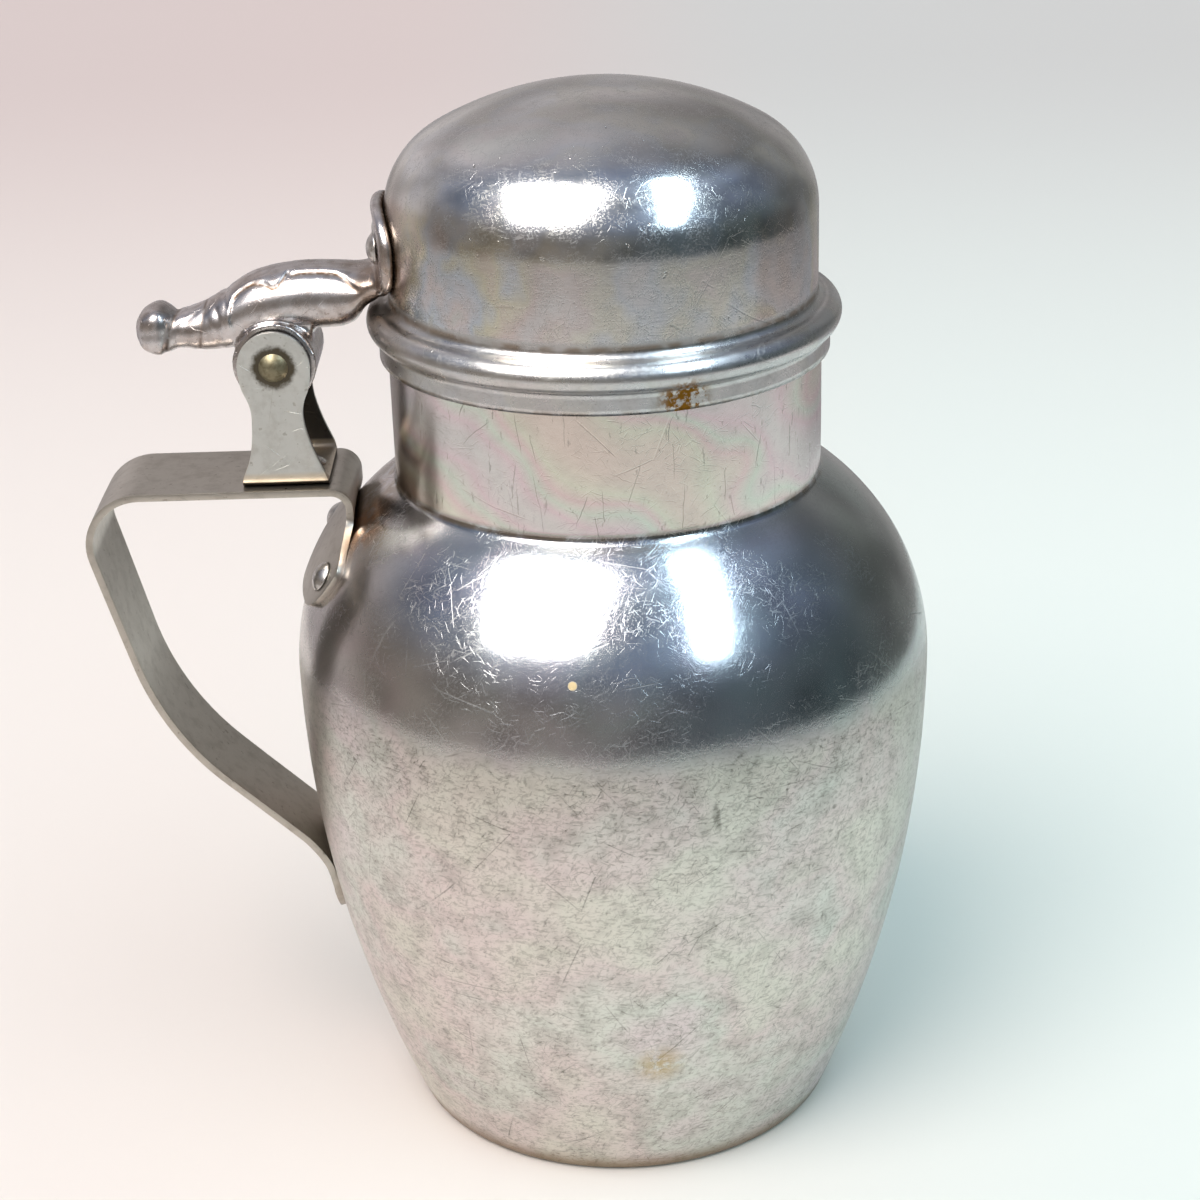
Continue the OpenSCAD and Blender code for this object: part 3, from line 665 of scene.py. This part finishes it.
def capLine(inside):
    # The cap's outline from the skirt's lower edge to the top, this far inside its outer surface
    skirtR, beadR, middle = cap["skirtR"] - inside, cap["beadR"] - inside, cap["beadMiddle"]
    skirtA = -math.degrees(math.acos((skirtR - middle) / beadR))
    filletR, flatX = middle - cap["wallR"], cap["wallR"] - cap["cornerR"]
    drop, domeZ = math.sqrt((cap["domeR"] - cap["cornerR"]) ** 2 - flatX ** 2), cap["topZ"] - cap["domeR"]
    domeA = math.degrees(math.atan2(drop, flatX))
    return ([(skirtR, cap["skirtZ"])] + arcPoints((middle, cap["beadZ"]), beadR, skirtA, 90, 20)
            + arcPoints((middle, cap["beadZ"] + cap["beadR"] + filletR), filletR + inside, 268, 180, 10)
            + arcPoints((flatX, domeZ + drop), cap["cornerR"] - inside, 0, domeA, 30)
            + arcPoints((0, domeZ), cap["domeR"] - inside, domeA + 0.6, 90, 30))


def capShell():
    profile = evened(capLine(0), cap["step"]) + evened(capLine(cap["sheet"])[::-1], cap["insideStep"])
    return turnedPiece("capShell", profile + profile[:1], cap["around"], cap["waves"])


placed(capShell(), "lid", ["cap"], agedCap())

strap = {"width": 20.4, "lowWidth": 17.4, "taper": (60, 112), "sheet": 1.2, "lift": 0.05,
         "footWidth": 37, "footZ": 98.6,
         "lobeR": 7, "footTop": 114, "waist": (105.8, 113.2), "tipZ": 34.5, "wrap": (51, 44), "dropX": 43.6,
         "topZ": 118.4, "bend": 1.6, "edge": 0.45, "columns": 25, "step": 0.8, "waves": (0.10, 34, 3), "sag": 0.14,
         "run": [(-43.6, 114, 0), (-43.6, 117.8, 3), (-90.4, 117.8, 8.9), (-78.7, 73.4, 50), (-52.9, 49, 14),
                 (-51.3, 41.5, 0)]}


def onJug(arc, z, y):
    # How far from the plane x = 0 the middle of the strap's sheet is where it lies on the jug
    ring = jugRing(arc, z, strap["sheet"] / 2 + strap["lift"])
    return np.sqrt(np.maximum(ring ** 2 - y ** 2, 1))


def strapPiece():
    half, across = strap["width"] / 2, np.linspace(-1, 1, strap["columns"])
    rows = []
    # the foot spreads over the shoulder between two rivets and bends up into the drop
    lobeR, dropX, bend = strap["lobeR"], strap["dropX"], strap["bend"]
    lobeZ, lobeY = strap["footZ"] + lobeR, strap["footWidth"] / 2 - lobeR
    turn = np.radians(np.linspace(2, 90, 12))
    for z in np.concatenate([lobeZ - lobeR * np.cos(turn), np.linspace(lobeZ, strap["footTop"], 22)[1:]]):
        low = lobeY + math.sqrt(max(lobeR ** 2 - max(lobeZ - z, 0) ** 2, 0))
        y = across * (low + (half - low) * float(eased(z, *strap["waist"])))
        shoulder = onJug("shoulderArcR", z, y)
        join = np.clip(0.5 + (shoulder - dropX) / (2 * bend), 0, 1)
        x = dropX + (shoulder - dropX) * join + bend * join * (1 - join)
        rows.append(np.stack([-x, y, np.full_like(y, z)], 1))
    # the flat run narrows downwards, and its tongue follows the lower body to a round tip
    half = strap["lowWidth"] / 2
    tipMiddle = strap["tipZ"] + half
    for x, z in evened(roundedPath(strap["run"], 18), strap["step"])[1:]:
        wrap = float(eased(z, *strap["wrap"]))
        if z > tipMiddle:
            wide = np.interp(z, strap["taper"], (half, strap["width"] / 2))
        else:
            wide = math.sqrt(half ** 2 - (tipMiddle - z) ** 2)
        y = across * wide
        curve = wrap * (onJug("lowerArcR", z, y) - onJug("lowerArcR", z, 0)) if wrap else 0 * y
        rows.append(np.stack([x + 0 * y - curve, y, np.full_like(y, z)], 1))
    startZ = rows[-1][0][2]
    startA = math.asin((tipMiddle - startZ) / half)
    for a in np.linspace(startA, math.radians(86), 18)[1:]:
        y, z = across * half * math.cos(a), tipMiddle - half * math.sin(a)
        rows.append(np.stack([-onJug("lowerArcR", z, y), y, np.full_like(y, z)], 1))
    points = np.concatenate(rows)
    # the flat run, away from both fastened ends, is a little bent by use
    depth, width, seed = strap["waves"]
    away = eased(np.abs(points[:, 2] - 80), 46, 20) + (points[:, 0] < -58)
    points[:, 0] += (ripple(points, width, seed) * depth + strap["sag"]) * np.clip(away, 0, 1)
    piece = meshObject("handleStrap", points * mm, gridFaces(len(rows), strap["columns"]))
    return sheetMetal(piece, strap["sheet"], strap["edge"], 3)


strapMetal = dullSheet("strapMetal", (0.49, 0.455, 0.405), (0.29, 0.255, 0.215),
                       ((-54, 0, 118.5), 0.1, 0.2), (0.5, 1, 0.6), 1.3, 0.27)
placed(strapPiece(), "jug", ["handle_strap"], strapMetal)

bracket = {"x": -54, "pinX": -54.5, "pinZ": 139.5, "earR": 6, "width": 17.6, "sheet": 1.2, "lift": 0.02,
           "bend": 1.5, "step": 0.45, "edge": 0.22, "columns": 17, "lean": (122, 131), "waves": (0.06, 14, 8),
           "ear": [(118, 7.2), (119.4, 7.2), (120.6, 6.8), (122.5, 6.0), (124.2, 5.4), (125.9, 4.95), (127.6, 4.6),
                   (129.4, 4.35), (132.4, 4.35), (134.0, 4.8), (135.4, 5.4), (137, 5.8), (139.5, 6.0)]}


def earHalf(z):
    # Half the length of an ear at a height: a flared foot, a waist and a round end about the pin
    if z > bracket["pinZ"]:
        return math.sqrt(max(bracket["earR"] ** 2 - (z - bracket["pinZ"]) ** 2, 0))
    return float(smoothRows(bracket["ear"], np.array([z]))[0, 0])


def bracketPiece():
    b = bracket
    low, side = strap["topZ"] + b["sheet"] / 2 + b["lift"], b["width"] / 2 - b["sheet"] / 2
    turn = np.radians(np.linspace(4, 70, 10))
    ear = [b["pinZ"] + b["earR"] * math.cos(a) for a in turn]
    ear += list(np.arange(ear[-1], low + b["bend"], -b["step"]))[1:]
    path = [(-side, z) for z in ear] + arcPoints((-side + b["bend"], low + b["bend"]), b["bend"], 180, 270, 7)
    path += [(y, low) for y in np.linspace(-side + b["bend"], side - b["bend"], 19)[1:-1]]
    path += [(-y, z) for y, z in path[:len(ear) + 8]][::-1]
    across, points = np.linspace(-1, 1, b["columns"]), []
    for y, z in path:
        half = earHalf(z)
        middle = b["x"] + (b["pinX"] - b["x"]) * float(eased(z, *b["lean"]))
        points += [(middle + a * half, y, z) for a in across]
    points = np.array(points)
    depth, width, seed = b["waves"]
    points[:, 1] += ripple(points, width, seed) * depth
    piece = meshObject("hingeBracket", points * mm, gridFaces(len(path), b["columns"]))
    return sheetMetal(piece, b["sheet"], b["edge"], 2)


bracketMetal = dullSheet("bracketMetal", (0.62, 0.62, 0.59), (0.36, 0.34, 0.30),
                         ((-54.5, 0, 139.5), 3.0, 4.2), (0.5, 0.5, 0.2), 4.1)
placed(bracketPiece(), "jug", ["hinge_bracket"], bracketMetal)

# The cast thumb lever: a carved arm, a lug for the pin and a flange on the cap, grown together

lever = {
    "rows": [(-77.5, 142.8, 145.8, 2.2), (-76.8, 141.4, 147.0, 3.7), (-75.3, 140.3, 148.2, 4.7),
             (-73.8, 139.9, 148.6, 5.0), (-70.8, 141.0, 147.2, 3.9), (-67.5, 140.6, 147.9, 4.5),
             (-63.0, 140.8, 150.1, 5.2), (-58.0, 142.2, 153.0, 6.0), (-52.0, 143.6, 154.4, 6.4),
             (-46.0, 143.9, 154.6, 6.4), (-42.6, 144.3, 154.4, 6.5), (-40.7, 145.4, 154.2, 6.6), (-39.3, 147.4, 154.2, 6.8),
             (-37.0, 148.8, 154.8, 7.0)],
    "leafEdge": [(-61.6, 95), (-61.2, 60), (-60.6, 40), (-59.5, 33), (-57.4, 31), (-55.5, 38), (-54.2, 49), (-53.2, 47),
                 (-52.2, 33), (-51.6, 20), (-51.0, 29), (-49.8, 27), (-46, 27), (-43.6, 30), (-42.2, 40), (-40.5, 62),
                 (-38.5, 80)],
    "leafLift": 0.24, "groove": 0.14, "voxel": 0.21, "sides": 96, "along": 230,
    "boxy": [(-77.5, 0.74), (-72, 0.74), (-69, 0.92), (-37, 0.96)],
    "lugR": 6.9, "lugHalf": 7.15, "boreR": 1.68, "boreTight": 1.66, "webX": 6.4, "webY": 4.9, "webZ": (141.7, 146.5),
    "flangeThick": 2.0, "flangeHalf": 12.5, "flangeLow": 149.6, "flangeTop": 165.5, "squareness": 0.8,
    "lip": [(0.0, 1.75), (0.55, 1.75), (0.80, 1.8), (0.88, 2.0), (0.94, 1.98), (0.975, 1.75), (0.994, 1.35), (1.0, 0.95),
            (0.994, 0.5), (0.975, 0.2), (0.93, 0.03), (0.5, 0.03)],
}


def leafSide(x, s):
    # How far inside the leaf's edge a place on the arm is, in degrees; s is measured from the top
    return np.interp(x, *zip(*lever["leafEdge"])) - s


def carved(x, s):
    # The arm's relief in millimetres: leaf, veins, bead rings, cuff and knob
    inside = leafSide(x, s)
    onLeaf = eased(x, -62.2, -61.4)
    relief = lever["leafLift"] * eased(inside, -5, 4) * onLeaf
    relief -= lever["groove"] * np.exp(-((inside + 6) / 4.5) ** 2) * onLeaf * eased(x, -38.5, -41)
    vein = np.interp(x, [-62, -55, -46, -38], [30, 15, 12, 16])
    relief -= 0.10 * np.exp(-((s - vein) / 4.0) ** 2) * eased(x, -61.5, -58)
    for middle, wide, lift in ((-64.3, 0.70, 0.16), (-62.6, 0.75, 0.20)):
        relief += lift * np.exp(-((x - middle - 0.020 * (s - 60)) / wide) ** 4)
    knobEdge = x + 71.4 + 0.016 * (s - 60)
    relief -= 0.28 * np.exp(-(knobEdge / 0.55) ** 2) + 0.14 * np.exp(-((x + 65.6 + 0.01 * s) / 0.45) ** 2)
    cuff = 58 - 10.5 * (x + 70)
    relief += 0.15 * eased(cuff - s, -6, 5) * eased(x, -71, -70.2) * eased(x, -64.9, -65.6)
    ridge = np.abs(((s + 18) % 72) - 36) / 36
    return relief + 0.24 * (ridge - 0.5) * eased(x, -71.6, -72.6) * eased(x, -77.4, -76.0)


def armPart():
    x = np.linspace(lever["rows"][0][0], lever["rows"][-1][0], lever["along"])
    low, high, half = smoothRows(lever["rows"], x).T
    a = np.linspace(0, 2 * math.pi, lever["sides"], endpoint=False)
    s = np.degrees(np.abs((a - math.pi / 2 + math.pi) % (2 * math.pi) - math.pi))
    grow = carved(x[:, None] + 0 * s, s[None, :] + 0 * x[:, None])
    boxy = np.interp(x, *zip(*lever["boxy"]))[:, None]
    y = (half[:, None] + grow) * squared(np.cos(a)[None, :], boxy)
    z = (low + high)[:, None] / 2 + ((high - low)[:, None] / 2 + grow) * squared(np.sin(a)[None, :], boxy)
    points = np.stack([x[:, None] + 0 * y, y, z], 2).reshape(-1, 3)
    return points, tubeFaces(lever["along"], lever["sides"])


def flangePart():
    # A rounded oval plate with a thick round lip, bent round the cap
    rings = []
    middle, tall = (lever["flangeLow"] + lever["flangeTop"]) / 2, (lever["flangeTop"] - lever["flangeLow"]) / 2
    a = np.linspace(0, 2 * math.pi, lever["sides"], endpoint=False)
    rimY, rimZ = squared(np.cos(a), lever["squareness"]), squared(np.sin(a), lever["squareness"])
    for share, out in lever["lip"]:
        size = max(share, 0.02)
        y, z = rimY * lever["flangeHalf"] * size, middle + rimZ * tall * size
        ring = cap["wallR"] + out * lever["flangeThick"] / 2.0
        rings.append(np.stack([-np.sqrt(ring ** 2 - y ** 2), y, z], 1))
    return np.concatenate(rings), tubeFaces(len(rings), lever["sides"])


def lugPart():
    # The round lug under the arm, with the pin's bore through it
    n = 64
    a = np.linspace(0, 2 * math.pi, n, endpoint=False)
    points, faces = [], []
    for y in (-lever["lugHalf"], lever["lugHalf"]):
        for r in (lever["lugR"], lever["boreR"]):
            points += [(bracket["pinX"] + r * math.cos(t), y, bracket["pinZ"] + r * math.sin(t)) for t in a]
    for c in range(n):
        d = (c + 1) % n
        faces += [(c, d, n + d, n + c), (2 * n + d, 2 * n + c, 3 * n + c, 3 * n + d),
                  (d, c, 2 * n + c, 2 * n + d), (n + c, n + d, 3 * n + d, 3 * n + c)]
    return np.array(points), faces


def bridgePart():
    # The web between the lug and the arm
    x0, x1, side = bracket["pinX"] - lever["webX"], bracket["pinX"] + lever["webX"], lever["webY"]
    corners = [(x, y, z) for z in lever["webZ"] for x, y in ((x0, -side), (x1, -side), (x1, side), (x0, side))]
    return np.array(corners, float), [(3, 2, 1, 0), (4, 5, 6, 7), (0, 1, 5, 4), (1, 2, 6, 5), (2, 3, 7, 6), (3, 0, 4, 7)]


def filleted(co, ends):
    # Smooths the places where the parts of the casting meet more than its carving
    count = len(co)
    degree = np.bincount(ends.ravel(), minlength=count)[:, None]
    nearCap = eased(co[:, 0], -40.6, -38.2) * eased(np.abs(co[:, 1]), 11, 8) * eased(co[:, 2], 164, 157)
    nearLug = (eased(np.abs(co[:, 0] - bracket["pinX"]), 9, 6.5) * eased(co[:, 2], 145.8, 144.0)
               * eased(co[:, 2], 141.0, 142.0))
    soft = np.clip(np.maximum(nearCap, nearLug), 0.10, 0.9)[:, None]
    for k in range(26):
        total = np.stack([np.bincount(ends[:, 0], c[ends[:, 1]], count) + np.bincount(ends[:, 1], c[ends[:, 0]], count)
                          for c in co.T], 1)
        share = np.maximum(soft, 0.35) if k < 4 else np.where(soft < 0.11, 0, soft)
        co += (total / degree - co) * share
    # the bore keeps its radius
    bore, tight = np.hypot(co[:, 0] - bracket["pinX"], co[:, 2] - bracket["pinZ"]), lever["boreTight"]
    inBore = (bore < tight) & (co[:, 2] < 142)
    for axis, middle in ((0, bracket["pinX"]), (2, bracket["pinZ"])):
        co[inBore, axis] = middle + (co[inBore, axis] - middle) * tight / bore[inBore]
    return co


def leverDirt(co):
    # How much dirt stays in the cut lines and between the flange and the cap
    low, high, half = smoothRows(lever["rows"], np.clip(co[:, 0], -77.4, -37.1)).T
    s = np.degrees(np.abs(np.arctan2(co[:, 1] / half, (co[:, 2] - (low + high) / 2) / ((high - low) / 2))))
    cut = np.exp(-((leafSide(co[:, 0], s) + 6) / 4.0) ** 2) * eased(co[:, 0], -62.2, -61.4) * eased(s, 100, 80)
    for strength, middle, slant, wide in ((0.8, -71.4, 0.016 * (s - 60), 0.4), (0.7, -65.6, 0.01 * s, 0.3)):
        cut = np.maximum(cut, strength * np.exp(-((co[:, 0] - middle + slant) / wide) ** 2))
    cut *= eased(co[:, 0], -37.5, -41) * eased(co[:, 2], low - 0.8, low + 0.2)
    ring = np.hypot(co[:, 0], co[:, 1])
    return np.maximum(cut, eased(ring, cap["wallR"] + 0.9, cap["wallR"] + 0.1) * eased(co[:, 2], 148, 149))


def leverPiece():
    points, faces = np.zeros((0, 3)), []
    for partPoints, partFaces in (armPart(), flangePart(), lugPart(), bridgePart()):
        faces += [tuple(i + len(points) for i in face) for face in partFaces]
        points = np.concatenate([points, partPoints])
    piece = meshObject("thumbLever", points * mm, faces)
    remesh = piece.modifiers.new("cast", "REMESH")
    remesh.mode, remesh.voxel_size, remesh.adaptivity = "VOXEL", lever["voxel"] * mm, 0
    settle(piece)
    mesh = piece.data
    co, ends = np.empty(len(mesh.vertices) * 3), np.empty(len(mesh.edges) * 2, int)
    mesh.vertices.foreach_get("co", co)
    mesh.edges.foreach_get("vertices", ends)
    co = filleted(co.reshape(-1, 3) / mm, ends.reshape(-1, 2))
    mesh.vertices.foreach_set("co", (co * mm).ravel())
    mesh.attributes.new("cut", "FLOAT", "POINT").data.foreach_set("value", leverDirt(co).astype(np.float32))
    mesh.update()
    return piece


placed(leverPiece(), "lid", ["thumb_lever"], castMetal())

# Rivets and pin: one head outline is turned, then set at each place by Geometry Nodes

heads = {"headR": 2.7, "headH": 1.3, "shankR": 1.59, "tailH": 0.8, "tailGap": 0.15, "sides": 40, "sizeSpread": 0.03,
         "onShoulder": (104, 14), "onLowerBody": 41, "onCap": (158.5, 10), "onBracket": 3.6}


def domeLine(base):
    r, h = heads["headR"], heads["headH"]
    ball = (r * r + h * h) / (2 * h)
    rim = math.degrees(math.asin((ball - h) / ball))
    return arcPoints((0, base + h - ball), ball, 90, rim, 12) + [(r - 0.12, base), (heads["shankR"], base)]


def rivetForm(name, outer, inner):
    # A rivet along Z, with its domed head above the sheet and a flattened tail inside it
    r, top = heads["headR"], -inner - heads["tailGap"]
    end = top - heads["tailH"]
    tail = [(heads["shankR"], top), (r - 0.4, top), (r - 0.3, top - 0.15), (r - 0.45, end), (0, end)]
    return turnedPiece(name, domeLine(outer + 0.01) + tail, heads["sides"], (0, 10, 0))


def doubleForm(name, low, high):
    outline = domeLine(high) + [(r, -z) for r, z in domeLine(-low)[::-1]]
    return turnedPiece(name, outline, heads["sides"], (0, 10, 0))


def setHeads(name, form, places, seed):
    piece = meshObject(name, [np.array(p) * mm for p, _ in places], [])
    layer = piece.data.attributes.new("facing", "FLOAT_VECTOR", "POINT")
    layer.data.foreach_set("vector", np.array([d for _, d in places], float).ravel())
    useTree(piece, setter, {"Form": form, "Size Spread": heads["sizeSpread"], "Seed": seed})
    settle(piece)
    bpy.data.objects.remove(form)
    return piece


# Where each head goes: its place on the surface and the way it faces

def shoulderPlace(z, y):
    ring = float(jugRing("shoulderArcR", z))
    turn, tilt = math.asin(y / ring), math.asin((z - jug["bellyZ"]) / jug["shoulderArcR"])
    facing = (-math.cos(turn) * math.cos(tilt), math.sin(turn) * math.cos(tilt), math.sin(tilt))
    return (-ring * math.cos(turn), y, z), facing


def lowerPlace(z):
    tilt = -math.asin((jug["bellyZ"] - z) / jug["lowerArcR"])
    x = jug["lowerArcR"] - jug["bellyR"] - jug["lowerArcR"] * math.cos(tilt)
    return (x, 0, z), (-math.cos(tilt), 0, math.sin(tilt))


def capPlace(z, degrees):
    a = math.radians(degrees)
    return (-cap["wallR"] * math.cos(a), cap["wallR"] * math.sin(a), z), (-math.cos(a), math.sin(a), 0)


def joined(name, pieces):
    work = bmesh.new()
    for piece in pieces:
        work.from_mesh(piece.data)
    made = meshObject(name, [], [])
    work.to_mesh(made.data)
    work.free()
    for piece in pieces:
        bpy.data.objects.remove(piece)
    made.data.shade_smooth()
    return made


rivetMetal = headMetal("rivetMetal", (0.60, 0.58, 0.56), (0.33, 0.30, 0.27), 0.22, 0.7)
pinMetal = headMetal("pinMetal", (0.23, 0.205, 0.135), (0.12, 0.10, 0.06), 0.40, 2.2)

z, y = heads["onShoulder"]
strapHeads = setHeads("strapHeads", rivetForm("strapRivetForm", strap["sheet"], jug["sheet"]),
                      [shoulderPlace(z, -y), shoulderPlace(z, y), lowerPlace(heads["onLowerBody"])], 4)
bracketHeads = setHeads("bracketHeads", doubleForm("bracketRivetForm", -strap["sheet"] - 0.01, bracket["sheet"] + 0.02),
                        [((bracket["x"] + away, 0, strap["topZ"]), (0, 0, 1))
                         for away in (-heads["onBracket"], heads["onBracket"])], 6)
placed(joined("jugRivets", [strapHeads, bracketHeads]), "jug",
       ["shoulder_rivet_front", "shoulder_rivet_back", "lower_handle_rivet", "bracket_rivet_inner", "bracket_rivet_outer"],
       rivetMetal)

z, turn = heads["onCap"]
capHeads = setHeads("capRivets", rivetForm("capRivetForm", lever["flangeThick"], cap["sheet"]),
                    [capPlace(z, -turn), capPlace(z, turn)], 9)
placed(capHeads, "lid", ["cap_rivet_front", "cap_rivet_back"], rivetMetal)

grip = bracket["width"] / 2 + 0.01
pin = setHeads("hingePin", doubleForm("pinForm", -grip, grip), [((bracket["pinX"], 0, bracket["pinZ"]), (0, 1, 0))], 2)
placed(pin, "jug", ["hinge_pin"], pinMetal)

# The plain pale floor, the lights and the camera

studio = {
    "floorRadius": 3.0, "near": (0.93, 0.93, 0.915), "far": (0.68, 0.62, 0.625),
    "warmSide": (0.99, 0.92, 0.90), "coolSide": (0.90, 0.985, 0.98), "mirrored": 0.33, "floorEdge": -0.278,
    "ambient": (0.45, 0.55, 0.58), "seen": (0.60, 0.56, 0.565),
    "low": ((0.33, 0.29, 0.255), (0.085, 0.11, 0.12)), "high": (0.20, 0.25, 0.36),
    "back": ((0.62, 0.575, 0.575), (0.26, 0.26, 0.25)), "ground": ((0.88, 0.86, 0.845), (0.38, 0.355, 0.365)),
    "aim": (0, 0, 0.11), "away": 0.75,
    "lamps": {"warmLight": {"at": (-0.36, -0.47, 0.81), "size": (0.40, 0.52), "along": (-0.245, -0.645, -0.475),
                            "power": 10.8, "colour": (1.0, 0.955, 0.90)},
              "coolLight": {"at": (0.49, -0.42, 0.763), "size": (0.10, 0.68), "along": (0.214, -0.67, -0.486),
                            "power": 3.4, "colour": (0.70, 0.88, 1.0)}},
    "fills": [{"at": (-0.36, -0.47, 0.81), "strength": 2.0, "spread": 38, "colour": (1.0, 0.80, 0.73)},
              {"at": (0.49, -0.42, 0.763), "strength": 0.55, "spread": 60, "colour": (0.90, 1.0, 1.0)}],
    "lens": 75.63, "cameraAt": (-0.002035, -0.40372, 0.26752), "lookDown": 23.43, "roll": 1.65,
}


def paleFloor():
    # The metal mirrors only the floor round the jug; further out it mirrors the room
    f = Finish("paleFloor")
    place = f.place()
    x, y, _ = f.parts(place)
    # the floor is painted darker further back, and painted with warm light on the left and cool light on the right
    colour = f.blend(y.rise(0.05, 0.95), studio["near"], studio["far"])
    colour = f.blend(1.0, colour, f.blend(x.rise(-0.12, 0.12), studio["warmSide"], studio["coolSide"]), "MULTIPLY")
    shader = f.node("ShaderNodeBsdfPrincipled", {}, {"Base Color": colour, "Roughness": 0.75, "Specular IOR Level": 0.1})
    glossy = f.node("ShaderNodeLightPath", output="Is Glossy Ray")
    near = studio["mirrored"]
    clear = glossy * f.vector("LENGTH", place, output=1).rise(near, near + 0.02)
    f.close(f.node("ShaderNodeMixShader", {}, {0: clear, 1: shader, 2: f.node("ShaderNodeBsdfTransparent")}))
    sides, radius = 96, studio["floorRadius"]
    points = [(0, 0, 0)] + [(radius * math.cos(a), radius * math.sin(a), 0)
                            for a in np.linspace(0, 2 * math.pi, sides, endpoint=False)]
    floor = meshObject("paleFloor", points, [(0, 1 + k, 1 + (k + 1) % sides) for k in range(sides)])
    floor.data.materials.append(f.material)


def softLight(name, look):
    outward = Vector(look["at"]).normalized()
    data = bpy.data.lights.new(name, "AREA")
    data.shape, data.size, data.size_y = "RECTANGLE", *look["size"]
    data.energy, data.color = look["power"], look["colour"]
    lamp = bpy.data.objects.new(name, data)
    lamp.visible_diffuse = False
    scene.collection.objects.link(lamp)
    across = Vector(look["along"]).cross(outward).normalized()
    turn = Matrix((across, outward.cross(across), outward)).transposed()
    lamp.matrix_world = Matrix.Translation(Vector(studio["aim"]) + outward * studio["away"]) @ turn.to_4x4()


def fillLight(look):
    # An even light on the floor that the metal doesn't mirror
    data = bpy.data.lights.new("fillLight", "SUN")
    data.energy, data.angle, data.color = look["strength"], math.radians(look["spread"]), look["colour"]
    lamp = bpy.data.objects.new("fillLight", data)
    lamp.visible_glossy = False
    scene.collection.objects.link(lamp)
    lamp.matrix_world = (-Vector(look["at"])).to_track_quat("-Z", "Y").to_matrix().to_4x4()


def room():
    world = bpy.data.worlds.new("room")
    world.use_nodes = True
    scene.world = world
    f = Finish("room", world.node_tree)
    way = f.node("ShaderNodeTexCoord", output="Generated")
    x, y, z = f.parts(way)
    front = f.blend(z.rise(0.15, 0.6), f.blend(x.rise(-0.7, 0.7), *studio["low"]), studio["high"])
    colour = f.blend(y.rise(0.0, 0.7), front, f.blend(x.rise(-0.5, 0.7), *studio["back"]))
    cloudy = f.noise(way, 0.30, 2).rise(0.35, 0.65, 0.6, 1.25)
    colour = f.blend(1.0, colour, f.node("ShaderNodeCombineXYZ", {}, dict.fromkeys(range(3), cloudy)), "MULTIPLY")
    # below the floor's edge the metal mirrors the ground, with a slightly wavy border
    ground = f.blend(y.rise(0.2, 0.85), *studio["ground"])
    edge = z + (f.noise(f.stretched(way, (1, 1, 0.3)), 0.12, 2) - 0.5) * 0.03
    colour = f.blend(edge.rise(studio["floorEdge"] + 0.008, studio["floorEdge"] - 0.008), colour, ground)
    colour = f.blend(f.node("ShaderNodeLightPath", output="Is Diffuse Ray"), colour, studio["ambient"])
    colour = f.blend(f.node("ShaderNodeLightPath", output="Is Camera Ray"), colour, studio["seen"])
    out = f.tree.nodes.new("ShaderNodeOutputWorld")
    shown = f.node("ShaderNodeBackground", {}, {"Color": colour, "Strength": 1.0})
    f.tree.links.new(shown.socket, out.inputs["Surface"])


def camera():
    data = bpy.data.cameras.new("camera")
    data.sensor_width, data.lens, data.clip_start = 36, studio["lens"], 0.01
    lens = bpy.data.objects.new("camera", data)
    scene.collection.objects.link(lens)
    pitch, roll = math.radians(90 - studio["lookDown"]), math.radians(studio["roll"])
    turn = Matrix.Rotation(pitch, 4, "X") @ Matrix.Rotation(-roll, 4, "Z")
    lens.matrix_world = Matrix.Translation(studio["cameraAt"]) @ turn
    scene.camera = lens


paleFloor()
for name, look in studio["lamps"].items():
    softLight(name, look)
for fill in studio["fills"]:
    fillLight(fill)
room()
camera()
scene.view_settings.view_transform = "Standard"
